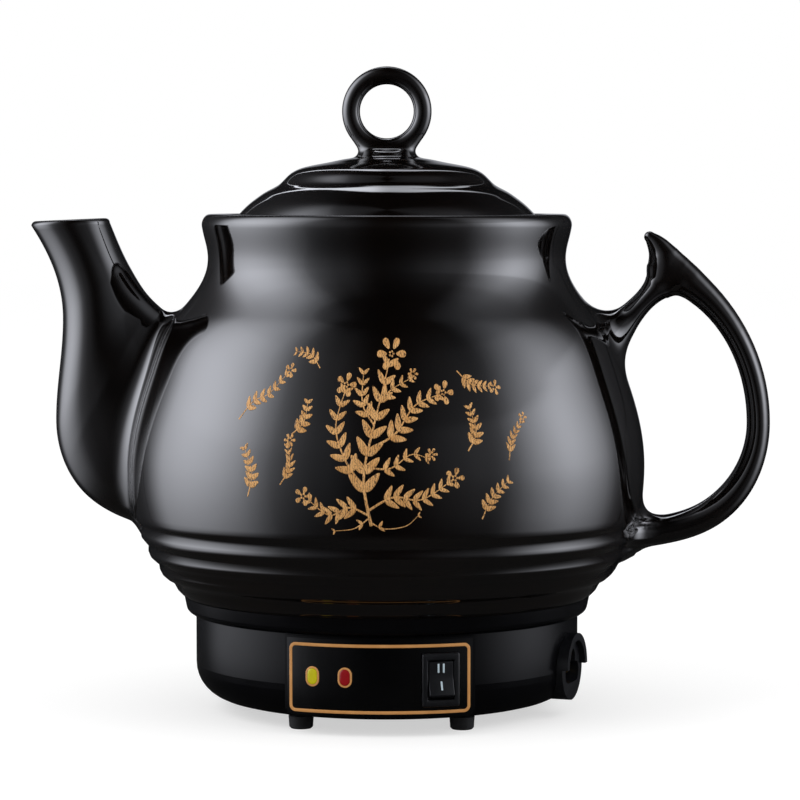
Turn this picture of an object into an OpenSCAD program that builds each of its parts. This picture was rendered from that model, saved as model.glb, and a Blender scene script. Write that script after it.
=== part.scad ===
// Electric herbal-medicine pot: a glazed ceramic pot with spout, ear handle and lift-off lid,
// standing on a round electric base with a rocker switch, two indicator windows and a power inlet.
// Units are millimetres. The pot faces -Y, the handle points to +X and the feet stand on z = 0.
// The origin is the middle of the whole outline, so the pot's own axis lies a little towards the spout.

/* [Pot] */
// Radius of the flat that the pot stands on
pot_foot_r = 66; // [62:0.5:68]
// Radius where the pot leaves the collar
pot_hip_r = 84.1; // [82:0.1:86]
// Height of that place above the pot's underside
pot_hip_h = 10; // [9:0.5:12]
// Largest radius of the belly
belly_r = 105; // [98:0.5:112]
// Height of the belly's widest place above the pot's underside
belly_h = 61.5; // [55:0.5:66]
// Radius of the upper belly, where it turns into the shoulder
upper_belly_r = 97.5; // [94:0.5:100]
// Height of the upper belly above the pot's underside
upper_belly_h = 98.1; // [94:0.5:102]
// Radius of the shoulder
shoulder_r = 84.4; // [80:0.5:88]
// Height of the shoulder above the pot's underside
shoulder_h = 124.2; // [120:0.5:128]
// Radius of the neck
neck_r = 72.8; // [70:0.2:76]
// Height of the neck above the pot's underside
neck_h = 146; // [142:0.5:150]
// Radius of the rim
rim_r = 75.2; // [73:0.2:79]
// Height of the rim above the pot's underside
rim_h = 163.8; // [160:0.2:168]
// Thickness of the ceramic wall
pot_wall = 6; // [4.5:0.5:7]
// Thickness of the pot's floor
floor_t = 8; // [6:0.5:10]
// Depth of the ribs' grooves
groove_depth = 1; // [0.4:0.1:1.6]
// Radius of the ribs' grooves
groove_r = 2.2; // [1.8:0.1:3]
// Height of the lowest groove above the pot's underside
groove_low_h = 14; // [12:0.5:16]
// Height of the highest groove above the pot's underside
groove_top_h = 37.3; // [34:0.5:44]
// Number of grooves
groove_count = 4; // [2:1:6]
// Radius of the seat that the lid drops into
gallery_r = 64.8; // [63.5:0.1:67]
// Depth of the lid's seat below the rim
gallery_depth = 5.5; // [4:0.5:7]
// Radius of the mouth inside the lid's seat
mouth_r = 57; // [55.5:0.5:59]
// Thickness of the ledge under the lid
ledge_t = 4; // [3:0.5:6]

/* [Spout] */
// Distance from the pot's axis to the tip of the spout's lip
spout_reach = 145.2; // [138:0.2:150]
// Height of the spout's lip above the pot's underside
spout_h = 162.2; // [156:0.2:163.5]
// Width of the spout's lip, from its tip to the side near the pot
lip_len = 32; // [28:0.5:36]
// Distance from the axis to the outside of the spout's belly
spout_belly_r = 135.1; // [130:0.2:138]
// Height of the spout's belly above the pot's underside
spout_belly_h = 79.5; // [74:0.5:84]
// Distance from the axis to the outside of the spout's waist
spout_waist_r = 132.1; // [128:0.2:136]
// Height of the spout's waist above the pot's underside
spout_waist_h = 121.5; // [117:0.5:126]
// Half the width of the spout at its root, across the view
spout_root_half_w = 20; // [16:0.5:24]
// Half the width of the spout half way up, across the view
spout_mid_half_w = 17.5; // [14:0.5:20]
// Half the width of the spout's lip, across the view
spout_lip_half_w = 15; // [12:0.5:17]
// Thickness of the spout's wall
spout_wall = 4; // [3:0.5:5]
// Diameter of each strainer hole
strainer_d = 6; // [4:0.5:7]
// Distance between neighbouring strainer holes
strainer_pitch = 10; // [8:0.5:11]

/* [Handle] */
// Distance from the pot's axis to the outside of the handle
handle_reach = 155.9; // [150:0.2:165]
// Thickness of the grip, seen from the front
grip_t = 9.4; // [8:0.2:12]
// Height of the grip's outermost place above the pot's underside
grip_h = 79; // [75:0.5:83]
// Half the width of the grip, across the view
grip_half_w = 8; // [6:0.5:10]
// Half the width of the bridge from the shoulder to the grip
bridge_half_w = 8.5; // [7:0.5:11]
// Height of the thumb horn's tip above the pot's underside
horn_h = 156.1; // [150:0.5:160]

/* [Lid] */
// Radius of the lid's edge
lid_r = 63.9; // [62:0.1:64.2]
// Height of the lid's crown above its seat
lid_crown_h = 28.4; // [26:0.2:32]
// Thickness of the lid's wall
lid_wall = 5; // [3.5:0.5:6]
// Depth of the ring under the lid that keeps it in the mouth
spigot_h = 9; // [6:0.5:12]
// Gap between the lid's ring and the pot's mouth
spigot_gap = 1.2; // [0.8:0.1:2]
// Outer radius of the ring knob
ring_r = 18.2; // [15:0.2:20]
// Thickness of the ring knob
ring_t = 7.3; // [6:0.1:9]
// Radius of the knob's stem
stem_r = 11.1; // [9.5:0.1:13]
// Height of the knob's stem
stem_h = 4.8; // [4:0.2:7]

/* [Collar and base] */
// Height of the feet
foot_h = 5; // [4:0.5:8]
// Diameter of the feet
foot_d = 10; // [8:0.5:11]
// Distance of the feet from the axis
foot_circle_r = 63.4; // [60:0.2:65]
// Angle between a front foot and the front
foot_angle = 30; // [25:1:40]
// Outer radius of the base
base_r = 78; // [77:0.2:80]
// Height of the base's housing
base_h = 34.5; // [32:0.5:38]
// Radius of the round lower edge of the base
base_edge_r = 14.5; // [10:0.5:15.5]
// Thickness of the housing's wall
base_wall = 2.5; // [2:0.1:3]
// Height of the collar between the base and the pot
collar_h = 9; // [8:0.5:11]
// Outer radius of the collar's top
collar_r = 83.2; // [82:0.1:84]
// How much the collar narrows towards its foot
collar_taper = 1.3; // [0.5:0.1:2]
// Depth of the pot's underside below the top of the collar
pot_sink = 10.5; // [10:0.5:11]
// Gap between the pot and the collar
pot_seat_gap = 0.1; // [0.05:0.05:0.3]
// Thickness of the bottom cover
cover_t = 2.5; // [2:0.1:3]
// Radius of the bottom cover
cover_r = 59.7; // [56:0.1:60]

/* [Control panel] */
// Half the angle that the raised panel spans
panel_half_angle = 27.9; // [25:0.1:32]
// Radius of the panel's front
panel_r = 79.1; // [78.9:0.1:80]
// Height of the panel's lower edge above the housing's underside
panel_low_h = 2.2; // [1.5:0.1:4]
// Thickness of the label on the panel
label_t = 0.4; // [0.2:0.1:0.6]
// Margin of the panel around the label
label_margin = 1.2; // [0.8:0.1:2]
// Height of the indicator windows above the table
window_z = 23.5; // [20:0.5:26]
// Angle of the keep-warm window from the front
warm_angle = -19.1; // [-21:0.1:-17]
// Angle of the heating window from the front
heat_angle = -9.6; // [-12:0.1:-8]
// Width of an indicator window
window_w = 4; // [3:0.1:5]
// Height of an indicator window
window_h = 6.3; // [5.5:0.1:8]

/* [Switch] */
// Angle of the switch from the front
switch_angle = 17.3; // [15.5:0.1:18.5]
// Height of the switch's middle above the table
switch_z = 22.6; // [21:0.1:24]
// Width of the switch's bezel
bezel_w = 15; // [14:0.1:16]
// Height of the switch's bezel
bezel_h = 21; // [20:0.1:22]
// Thickness of the switch's bezel
bezel_t = 2; // [1.5:0.1:2.5]
// Width of the switch's body
switch_body_w = 12.8; // [12.4:0.1:13]
// Height of the switch's body
switch_body_h = 18.8; // [18:0.1:19]
// Depth of the switch's body behind the panel
switch_body_d = 13; // [12.6:0.1:15]
// Width of the rocker
rocker_w = 9.8; // [8.5:0.1:10]
// Radius of the rocker's ends about its pivot
rocker_r = 7.3; // [6.9:0.1:7.4]
// Angle of the rocker from its middle to either end
rocker_tilt = 11; // [8:0.5:12]
// Diameter of the rocker's pivot pins
pivot_d = 3; // [2:0.1:3.4]
// Tilt of the see-saw contact from its middle to either end
contact_tilt = 8; // [6:0.5:8]

/* [Power inlet] */
// Angle of the inlet from the front
inlet_angle = 72; // [65:1:110]
// Height of the inlet's middle above the table
inlet_z = 20.5; // [20:0.5:22]
// Radius of the inlet's round flange
inlet_flange_r = 13.5; // [12.5:0.1:14.5]
// Distance of the flange's face from the pot's axis
inlet_face_r = 79.3; // [79:0.1:80]
// Height of the hood over the plug
hood_h = 2.3; // [1.5:0.1:3]
// Radius of the inlet's body behind the wall
inlet_body_r = 11.4; // [10.8:0.1:12]
// Depth of the inlet's socket
socket_d = 12; // [10:0.5:13]

/* [Heating] */
// Radius of the opening in the pot's floor
floor_hole_r = 50; // [46:0.5:52]
// Radius of the heating plate's flange
plate_r = 55; // [54:0.5:58]
// Thickness of the heating plate's flange
plate_t = 3; // [2:0.5:4]
// Thickness of the silicone seal
seal_t = 2; // [1.5:0.1:3]
// Radius of the heating element's loop
element_loop_r = 38; // [34:0.5:41]
// Diameter of the heating element's tube
element_d = 8; // [7:0.1:8.5]
// Thickness of the clamp bracket's sheet
bracket_t = 1.5; // [1.2:0.1:2]
// Diameter of the thermostat's disc
thermostat_d = 16; // [14:0.5:18]

/* [Hidden] */
$fn = 96;
eps = 0.01;
// The pot's axis, set so that the whole outline is centred on the origin
axis_x = (spout_reach - handle_reach) / 2;
base_z = foot_h;
base_top_z = base_z + base_h;
pot_z = base_top_z + collar_h - pot_sink;

glaze = "#120d0c";
satin_black = "#17171a";
rubber_black = "#222224";
steel = "#b9bcc0";
brass = "#c9a24e";
silicone = "#b5352a";
board_green = "#2e6b45";

// ---------- Curves ----------
// A knot is [radius, height, heading in degrees]; a heading of 0 runs outwards and 90 runs up.
function dir(heading) = [cos(heading), sin(heading)];
function place(k) = [k[0], k[1]];
function shifted(k, w) = [k[0] - w * sin(k[2]), k[1] + w * cos(k[2]), k[2]];
function all_shifted(knots, w) = [for (k = knots) shifted(k, w)];
function bezier(p, q, r, s, t) =
    pow(1 - t, 3) * p + 3 * t * pow(1 - t, 2) * q + 3 * t * t * (1 - t) * r + pow(t, 3) * s;
function bend_at(a, b, t) =
    let (reach = 0.35 * norm(place(b) - place(a)))
    bezier(place(a), place(a) + reach * dir(a[2]), place(b) - reach * dir(b[2]), place(b), t);
// The place on a chain of knots, where t runs from 0 to the number of bends
function chain_at(knots, t) =
    let (i = min(floor(t), len(knots) - 2)) bend_at(knots[i], knots[i + 1], t - i);
function chain(knots, steps) = [for (i = [0 : steps * (len(knots) - 1)]) chain_at(knots, i / steps)];
function reversed(list) = [for (i = [len(list) - 1 : -1 : 0]) list[i]];

// Closed tube over rings of equal size, with a flat cap at each end
module skin(rings) {
    sides = len(rings[0]);
    last = len(rings) - 1;
    polyhedron(
        points = [for (ring = rings) each ring],
        faces = concat(
            [[for (j = [sides - 1 : -1 : 0]) j]],
            [for (i = [0 : last - 1], j = [0 : sides - 1])
                let (a = i * sides + j, b = i * sides + (j + 1) % sides)
                each [[a, b, b + sides], [a, b + sides, a + sides]]],
            [[for (j = [0 : sides - 1]) last * sides + j]]));
}

// Ellipse in space whose ends are two places of the middle plane, a on the outer side and b on the inner
function ring_between(a, b, half_w, sides, side_sign) =
    let (mid = (a + b) / 2, half = (a - b) / 2)
    [for (j = [0 : sides - 1])
        let (p = mid + half * cos(360 * j / sides))
        [side_sign * p[0], half_w * sin(360 * j / sides), p[1]]];

module on_axis() {
    translate([axis_x, 0, 0]) children();
}

// Places a piece drawn with +Z outwards and +Y up on the base's wall
module on_wall(angle, height, radius) {
    on_axis() rotate([0, 0, angle]) translate([0, -radius, height]) rotate([90, 0, 0]) children();
}

module rounded_plate(w, h, d, r) {
    linear_extrude(d) union() {
        square([w - 2 * r, h], center = true);
        square([w, h - 2 * r], center = true);
        for (x = [-1, 1], y = [-1, 1])
            translate([x * (w / 2 - r), y * (h / 2 - r)]) circle(r, $fn = 24);
    }
}

module stadium(w, h, d) {
    linear_extrude(d) union() {
        square([w, h - w], center = true);
        for (y = [-1, 1]) translate([0, y * (h - w) / 2]) circle(w / 2, $fn = 32);
    }
}

// Piece of a ring between two radii, centred on the front and spanning half_angle to each side
module front_sector(r_in, r_out, h, half_angle) {
    rotate([0, 0, -90 - half_angle]) rotate_extrude(angle = 2 * half_angle)
        translate([r_in, 0]) square([r_out - r_in, h]);
}

// ---------- Pot ----------
rim_side_h = rim_h - 4.8;
outer_knots = [
    [pot_foot_r, 0, 0],
    [pot_hip_r, pot_hip_h, 39],
    [belly_r, belly_h, 90],
    [upper_belly_r, upper_belly_h, 109.5],
    [shoulder_r, shoulder_h, 131],
    [neck_r, neck_h, 90],
    [rim_r, rim_side_h, 82]
];
line_steps = 5;
inner_steps = 4;
outer_line = chain(outer_knots, line_steps);
inner_floor_r = pot_foot_r - pot_wall;
inner_knots = [
    [inner_floor_r, floor_t, 0],
    each [for (i = [1 : 5]) shifted(outer_knots[i], pot_wall)]
];
seat_h = rim_h - gallery_depth;
rim_round = 3.2;
gallery_round = 2.5;
rim_edge = chain([outer_knots[6], [rim_r - rim_round, rim_h, 180]], 4);
gallery_edge = chain([[gallery_r + gallery_round, rim_h, 180], [gallery_r, rim_h - gallery_round, 270]], 3);

// Radius of the pot's outside at a height above its underside
function pot_r_at(h) = lookup(h, [for (p = outer_line) [p[1], p[0]]]);
function groove_h(i) = groove_low_h + i * (groove_top_h - groove_low_h) / max(1, groove_count - 1);

module pot_section() {
    difference() {
        polygon(concat(
            [[floor_hole_r, 0]], outer_line, rim_edge, gallery_edge,
            [[gallery_r, seat_h], [mouth_r, seat_h], [mouth_r, seat_h - ledge_t]],
            reversed(chain(inner_knots, inner_steps)),
            [[floor_hole_r, floor_t]]));
        for (i = [0 : groove_count - 1])
            translate([pot_r_at(groove_h(i)) + groove_r - groove_depth, groove_h(i)])
                circle(groove_r, $fn = 20);
    }
}

// The space inside the pot's outer surface, grown all round
module pot_envelope(grow) {
    polygon(concat(
        [[0, -grow]],
        chain(all_shifted(outer_knots, -grow), line_steps),
        [[rim_r, rim_h + grow], [0, rim_h + grow]]));
}

// One hole with a ring of six round it, level with the middle of the spout's belly
module strainer_holes() {
    translate([0, 0, spout_belly_h]) rotate([0, -90, 0]) {
        translate([0, 0, neck_r]) cylinder(d = strainer_d, h = spout_reach - neck_r, $fn = 24);
        for (a = [0 : 60 : 300]) rotate([0, 0, a]) translate([0, strainer_pitch, neck_r])
            cylinder(d = strainer_d, h = spout_reach - neck_r, $fn = 24);
    }
}

module pot_body() {
    color(glaze) on_axis() translate([0, 0, pot_z]) difference() {
        rotate_extrude() pot_section();
        strainer_holes();
    }
}

// ---------- Spout ----------
joint_gap = 0.05;
spout_outer_knots = [
    [belly_r - 15, 36, 5],
    [belly_r + 13, 46.3, 35],
    [spout_belly_r, spout_belly_h, 90],
    [spout_waist_r, spout_waist_h, 90],
    [spout_reach, spout_h - 3.2, 57]
];
spout_inner_knots = [
    [shoulder_r - 8, shoulder_h - 12, 25],
    [shoulder_r + 5.6, shoulder_h - 0.7, 40],
    [shoulder_r + 14.9, shoulder_h + 8.6, 54],
    [shoulder_r + 20.4, shoulder_h + 17.5, 60.5],
    [spout_reach - lip_len, spout_h - 1.8, 68]
];
spout_steps = 5;
spout_sides = 36;
lip_round = 1.8;

function spout_half_w(t) =
    lookup(t, [[0, spout_root_half_w], [1.5, spout_root_half_w], [3, spout_mid_half_w], [4, spout_lip_half_w]]);
function spout_ring(t, inset, rise) =
    let (a = chain_at(spout_outer_knots, t), b = chain_at(spout_inner_knots, t), d = (a - b) / norm(a - b))
    ring_between(a - inset * d + [0, rise], b + inset * d + [0, rise], spout_half_w(t) - inset, spout_sides, -1);

module spout() {
    last = 4 * spout_steps;
    outer = [for (i = [0 : last]) spout_ring(i / spout_steps, 0, 0)];
    lip = [for (a = [30 : 30 : 90]) spout_ring(4, lip_round * (1 - cos(a)), lip_round * sin(a))];
    bore = [for (i = [0 : last]) spout_ring(i / spout_steps, spout_wall, 0)];
    color(glaze) on_axis() translate([0, 0, pot_z]) difference() {
        skin(concat(outer, lip));
        skin(concat(bore, [spout_ring(4, spout_wall, 2 * lip_round)]));
        rotate_extrude() pot_envelope(joint_gap);
    }
}

// ---------- Handle ----------
grip_outer_knots = [
    [118.2, horn_h - 5.9, -36],
    [handle_reach - 23.9, horn_h - 18.8, -46],
    [handle_reach, grip_h, -90],
    [handle_reach - 17.9, 39.3, -142],
    [98, 27, -171],
    [88, 25.5, -172]
];
grip_inner_knots = [
    [110, 133, -20],
    [handle_reach - 34.4, 129.6, -33],
    [handle_reach - grip_t, grip_h, -90],
    [handle_reach - grip_t - 14, 49.7, -140],
    [104, 40.5, -178],
    [88, 40, -180]
];
bridge_upper_knots = [
    [shoulder_r - 4.4, shoulder_h - 5.2, 15],
    [shoulder_r + 11.7, shoulder_h + 3.3, 38],
    [106.3, 139, 72],
    [106.6, horn_h - 10, 95],
    [105.6, horn_h - 2, 100]
];
bridge_lower_knots = [
    [shoulder_r + 1.6, shoulder_h - 24.2, 50],
    [shoulder_r + 15.8, shoulder_h - 8.1, 58],
    [113, 129, 25],
    [119.5, horn_h - 7, 125],
    [108.8, horn_h - 0.5, 155]
];
handle_sides = 20;
handle_steps = 5;

function grip_ring(t) =
    ring_between(chain_at(grip_outer_knots, t), chain_at(grip_inner_knots, t),
        lookup(t, [[0, bridge_half_w - 1], [2, grip_half_w], [3, grip_half_w], [5, bridge_half_w + 1]]),
        handle_sides, 1);
function bridge_ring(t) =
    ring_between(chain_at(bridge_upper_knots, t), chain_at(bridge_lower_knots, t),
        lookup(t, [[0, bridge_half_w + 3], [1, bridge_half_w], [2, bridge_half_w - 1], [3, 5.5], [4, 1.8]]),
        handle_sides, 1);

module handle() {
    color(glaze) on_axis() translate([0, 0, pot_z]) difference() {
        union() {
            skin([for (i = [0 : 5 * handle_steps]) grip_ring(i / handle_steps)]);
            skin([for (i = [0 : 4 * handle_steps]) bridge_ring(i / handle_steps)]);
        }
        rotate_extrude() pot_envelope(joint_gap);
    }
}

// ---------- Lid ----------
seat_gap = 0.1;
lid_z = pot_z + seat_h + seat_gap;
lid_top_knots = [
    [stem_r, lid_crown_h, -70],
    [15, lid_crown_h - 0.9, -6],
    [35.5, lid_crown_h - 5.4, -27],
    [42.7, lid_crown_h - 10.3, -38],
    [47.8, 14.8, -29],
    [53.5, 11.6, -31.5],
    [lid_r - 4.3, 6.7, -46],
    [lid_r, 1.2, -80]
];
spigot_r = mouth_r - spigot_gap;
lid_inner_knots = [
    [spigot_r - lid_wall, -spigot_h, 90],
    [spigot_r - lid_wall, 2, 95],
    [36, lid_crown_h - lid_wall - 8.5, 152],
    [0, lid_crown_h - lid_wall - 2.5, 180]
];

module lid() {
    color(glaze) on_axis() translate([0, 0, lid_z]) rotate_extrude() polygon(concat(
        [[0, lid_crown_h]],
        chain(lid_top_knots, 5),
        [[lid_r - 1, 0], [spigot_r, 0], [spigot_r, -spigot_h]],
        chain(lid_inner_knots, 6)));
}

module lid_knob() {
    tube_r = ring_t / 2;
    loop_r = ring_r - tube_r;
    round_r = 1.8;
    color(glaze) on_axis() translate([0, 0, lid_z + lid_crown_h]) union() {
        rotate_extrude() polygon(concat(
            [[0, 0], [stem_r, 0]],
            chain([[stem_r, stem_h - round_r, 90], [stem_r - round_r, stem_h, 180]], 4),
            [[0, stem_h]]));
        translate([0, 0, ring_r + 0.4]) rotate([90, 0, 0]) rotate_extrude()
            translate([loop_r, 0]) circle(tube_r, $fn = 40);
    }
}

// ---------- Collar and base ----------
collar_foot_r = base_r + 0.7;
collar_low_h = 2.7;
skirt_gap = 0.2;
skirt_h = 5.5;

module collar_ring() {
    skirt_r = base_r - base_wall - skirt_gap;
    seat_r = pot_foot_r + 6;
    color(satin_black) on_axis() difference() {
        rotate_extrude() difference() {
            translate([0, base_top_z]) union() {
                polygon(concat(
                    [[seat_r, 0]],
                    chain([[collar_foot_r, 0, 20], [collar_r - collar_taper, collar_low_h, 80]], 5),
                    [[collar_r, collar_h], [seat_r, collar_h]]));
                translate([skirt_r - 2, -skirt_h]) square([2, skirt_h + 1]);
            }
            translate([0, pot_z]) pot_envelope(pot_seat_gap);
        }
    }
}

edge_centre = [base_r - base_edge_r, base_edge_r];

// Outline of the base's housing, drawn inwards by w
module base_outline(w) {
    top = base_h + (w > 0 ? 1 : 0);
    polygon(concat(
        [[0, w], [edge_centre[0], w]],
        [for (a = [-80 : 10 : 0]) edge_centre + (base_edge_r - w) * dir(a)],
        [[base_r - w, top], [0, top]]));
}

panel_edge_r = 3;
panel_step = 0.5;
panel_side_angle = asin(base_wall / panel_r);

// The raised panel, whose back lies half way through the housing's wall
module panel_block() {
    mid_r = base_edge_r - base_wall / 2;
    low_angle = asin((panel_low_h - base_edge_r) / mid_r);
    rotate([0, 0, -90 - panel_half_angle]) rotate_extrude(angle = 2 * panel_half_angle)
        polygon(concat(
            [for (i = [0 : 5]) edge_centre + mid_r * dir(low_angle * (1 - i / 5))],
            [[base_r - base_wall / 2, base_h - panel_step], [panel_r, base_h - panel_step]],
            reversed(chain([[panel_r - panel_edge_r, panel_low_h, 0],
                [panel_r, panel_low_h + panel_edge_r, 90]], 5))));
}

module housing_shell() {
    difference() {
        union() {
            rotate_extrude() difference() {
                base_outline(0);
                base_outline(base_wall);
                translate([-1, -1]) square([cover_r + fit_gap + 1, base_wall + 2]);
            }
            panel_block();
        }
        translate([0, 0, panel_low_h + base_wall])
            front_sector(cover_r, panel_r - base_wall, base_h, panel_half_angle - panel_side_angle);
    }
}

ledge_w = 5;
ledge_h = 2.5;
screw_circle_r = cover_r - 3.5;
screw_angles = [45, 135, 225, 315];
screw_pilot_r = 1.25;
boss_h = 10;
foot_stem_r = 2.5;
foot_stem_h = 7;
foot_pad_r = foot_stem_r + 0.9;
foot_angles = [for (s = [-1, 1], k = [0, 180]) k + s * foot_angle];
board_angle = (warm_angle + heat_angle) / 2;
board_r = 66;
board_w = 29;
board_h = 12;
board_t = 1.6;
post_x = 12.2;
post_r = 2.2;
fit_gap = 0.2;
body_hole_gap = 0.2;
inlet_body_hole_r = inlet_body_r + body_hole_gap;

// Places a piece at each foot, which stand left and right of the front and of the back
module at_feet() {
    for (a = foot_angles) rotate([0, 0, a]) translate([0, -foot_circle_r, 0]) children();
}

module at_cover_screws() {
    for (a = screw_angles) rotate([0, 0, a]) translate([0, -screw_circle_r, 0]) children();
}

module base_housing() {
    color(satin_black) difference() {
        union() {
            on_axis() translate([0, 0, base_z]) housing_shell();
            // Ledge that the bottom cover closes against, with its screw bosses
            on_axis() translate([0, 0, base_z + cover_t]) {
                rotate_extrude() union() {
                    translate([cover_r - ledge_w, 0]) square([ledge_w + 3, ledge_h]);
                    translate([cover_r + 1, base_wall - cover_t - 1]) square([2, cover_t - base_wall + 2]);
                }
                at_cover_screws() cylinder(r = 3.4, h = boss_h, $fn = 32);
            }
            // Pads that the feet are pressed into
            on_axis() translate([0, 0, base_z]) at_feet() cylinder(r = foot_pad_r, h = 4.5, $fn = 32);
            // Posts for the indicator board
            for (x = [-1, 1]) on_wall(board_angle, window_z, board_r + board_t)
                translate([x * post_x, 0, 0])
                    cylinder(r = post_r, h = panel_r - board_r - board_t - base_wall + 0.5, $fn = 24);
        }
        on_axis() translate([0, 0, base_z]) at_feet()
            translate([0, 0, -1]) cylinder(r = foot_stem_r + joint_gap, h = foot_stem_h + 2, $fn = 24);
        on_axis() translate([0, 0, base_z + cover_t]) at_cover_screws()
            translate([0, 0, -1]) cylinder(r = screw_pilot_r, h = boss_h, $fn = 24);
        for (x = [-1, 1]) on_wall(board_angle, window_z, board_r + board_t)
            translate([x * post_x, 0, -eps]) cylinder(r = 0.8, h = 5, $fn = 24);
        // Openings for the switch, the windows and the inlet
        on_wall(switch_angle, switch_z, switch_seat_r - 8)
            rounded_plate(switch_body_w + 2 * fit_gap, switch_body_h + 2 * fit_gap, 12, 0.5);
        on_wall(switch_angle, switch_z, switch_seat_r)
            rounded_plate(bezel_w + fit_gap, bezel_h + fit_gap, 2, 0.8);
        for (a = [warm_angle, heat_angle]) on_wall(a, window_z, panel_r - 5)
            stadium(window_w + fit_gap, window_h + fit_gap, 8);
        on_wall(inlet_angle, inlet_z, inlet_face_r - inlet_body_d - 1)
            cylinder(r = inlet_body_hole_r, h = inlet_body_d + 5);
    }
}

vent_count = 12;
module bottom_cover() {
    color(satin_black) on_axis() translate([0, 0, base_z]) difference() {
        cylinder(r = cover_r, h = cover_t);
        for (i = [0 : vent_count - 1]) rotate([0, 0, 360 * i / vent_count])
            translate([26, -1.5, -1]) cube([18, 3, cover_t + 2]);
        at_cover_screws() {
            translate([0, 0, -1]) cylinder(r = screw_pilot_r + 0.4, h = cover_t + 2, $fn = 24);
            translate([0, 0, -1]) cylinder(r = screw_head_r + 0.3, h = 1 + screw_head_h, $fn = 32);
        }
    }
}

module rubber_feet() {
    color(rubber_black) on_axis() at_feet() rotate_extrude($fn = 48) polygon([
        [0, 0], [foot_d / 2 - 1, 0], [foot_d / 2 - 0.3, 0.7], [foot_d / 2, base_z],
        [foot_stem_r, base_z], [foot_stem_r, base_z + foot_stem_h], [0, base_z + foot_stem_h]]);
}

screw_head_r = 2.7;
screw_head_h = 1.3;
// Screw with a round, slotted head; it points up from z = 0 and its head lies below
module screw(head_r, head_h, shank_r, length) {
    difference() {
        union() {
            translate([0, 0, -head_h]) cylinder(r = head_r, h = head_h, $fn = 32);
            cylinder(r = shank_r, h = length, $fn = 24);
        }
        for (a = [0, 90]) rotate([0, 0, a])
            translate([-head_r * 0.55, -0.35, -head_h - eps]) cube([head_r * 1.1, 0.7, head_h * 0.5]);
    }
}

module cover_screws() {
    color(steel) on_axis() translate([0, 0, base_z + screw_head_h]) at_cover_screws()
        screw(screw_head_r, screw_head_h, screw_pilot_r, boss_h - screw_head_h - 1);
}

// ---------- Control panel ----------
label_gap = 0.03;
module panel_label() {
    label_h = base_h - panel_low_h - 2 * label_margin;
    half_angle = panel_half_angle - atan(label_margin / panel_r);
    color("#0c0c0d") difference() {
        on_axis() translate([0, 0, base_z + panel_low_h + label_margin])
            front_sector(panel_r + label_gap, panel_r + label_t, label_h, half_angle);
        on_wall(switch_angle, switch_z, panel_r - 2)
            rounded_plate(bezel_w + fit_gap, bezel_h + fit_gap, 6, 0.8);
        for (a = [warm_angle, heat_angle]) on_wall(a, window_z, panel_r - 2)
            stadium(window_w + fit_gap, window_h + fit_gap, 6);
    }
}

lens_proud = 0.5;
lens_flange_t = 1;
module window_lens(angle) {
    wall_in = panel_r - base_wall;
    on_wall(angle, window_z, wall_in) union() {
        stadium(window_w, window_h, base_wall + label_t + lens_proud);
        translate([0, 0, -lens_flange_t - 0.2]) stadium(window_w + 2, window_h + 2, lens_flange_t);
        translate([0, 0, -0.4]) stadium(window_w, window_h, 1);
    }
}

module warm_window() {
    color("#e8c51c") window_lens(warm_angle);
}

module heat_window() {
    color("#c3150e") window_lens(heat_angle);
}

// Where a window's middle line meets the indicator board, sideways from the board's middle
function lamp_x(angle) = (board_r + board_t) * tan(angle - board_angle);

module indicator_board() {
    color(board_green) on_wall(board_angle, window_z, board_r) difference() {
        rounded_plate(board_w, board_h, board_t, 1);
        for (x = [-1, 1]) translate([x * post_x, 0, -1]) cylinder(r = 1.05, h = board_t + 2, $fn = 24);
    }
}

lamp_r = 1.5;
lamp_h = 6;
module indicator_lamps() {
    for (angle = [warm_angle, heat_angle])
        color(angle == warm_angle ? "#e8b40c" : "#d0201a")
            on_wall(board_angle, window_z, board_r + board_t) translate([lamp_x(angle), 0, 0]) union() {
                cylinder(r = lamp_r + 0.4, h = 1, $fn = 32);
                cylinder(r = lamp_r, h = lamp_h - lamp_r, $fn = 32);
                translate([0, 0, lamp_h - lamp_r]) sphere(lamp_r, $fn = 32);
            }
}

module board_screws() {
    color(steel) for (x = [-1, 1]) on_wall(board_angle, window_z, board_r)
        translate([x * post_x, 0, 0]) screw(1.8, 1.1, 0.8, 5);
}

diode_r = 2.6;
module power_diode() {
    color("#1d1d1f") on_wall(board_angle, window_z, board_r - diode_r) union() {
        translate([-4.5, 0, 0]) rotate([0, 90, 0]) cylinder(r = diode_r, h = 9, $fn = 32);
        for (x = [-1, 1]) translate([x * 6, 0, 0]) {
            rotate([0, -90 * x, 0]) translate([0, 0, -0.5]) cylinder(r = 0.5, h = 2.5, $fn = 16);
            translate([0, 0, -0.5]) cylinder(r = 0.5, h = diode_r + 0.5, $fn = 16);
        }
    }
}

// ---------- Switch ----------
// Drawn with +Z outwards from the bezel's seat and +Y up
switch_seat_r = sqrt(pow(panel_r + label_t, 2) - pow(bezel_w / 2, 2)) - 0.15;
pivot_out = -0.5;
cavity_w = rocker_w + 0.8;
cavity_h = 2 * (rocker_r + 0.4);
cavity_d = 10.5;
pivot_gap = 0.05;
pin_reach = 1.1;
terminal_w = 4.8;
terminal_t = 0.8;
terminal_pitch = 6;
terminal_len = 8;

module on_switch() {
    on_wall(switch_angle, switch_z, switch_seat_r) children();
}

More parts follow.
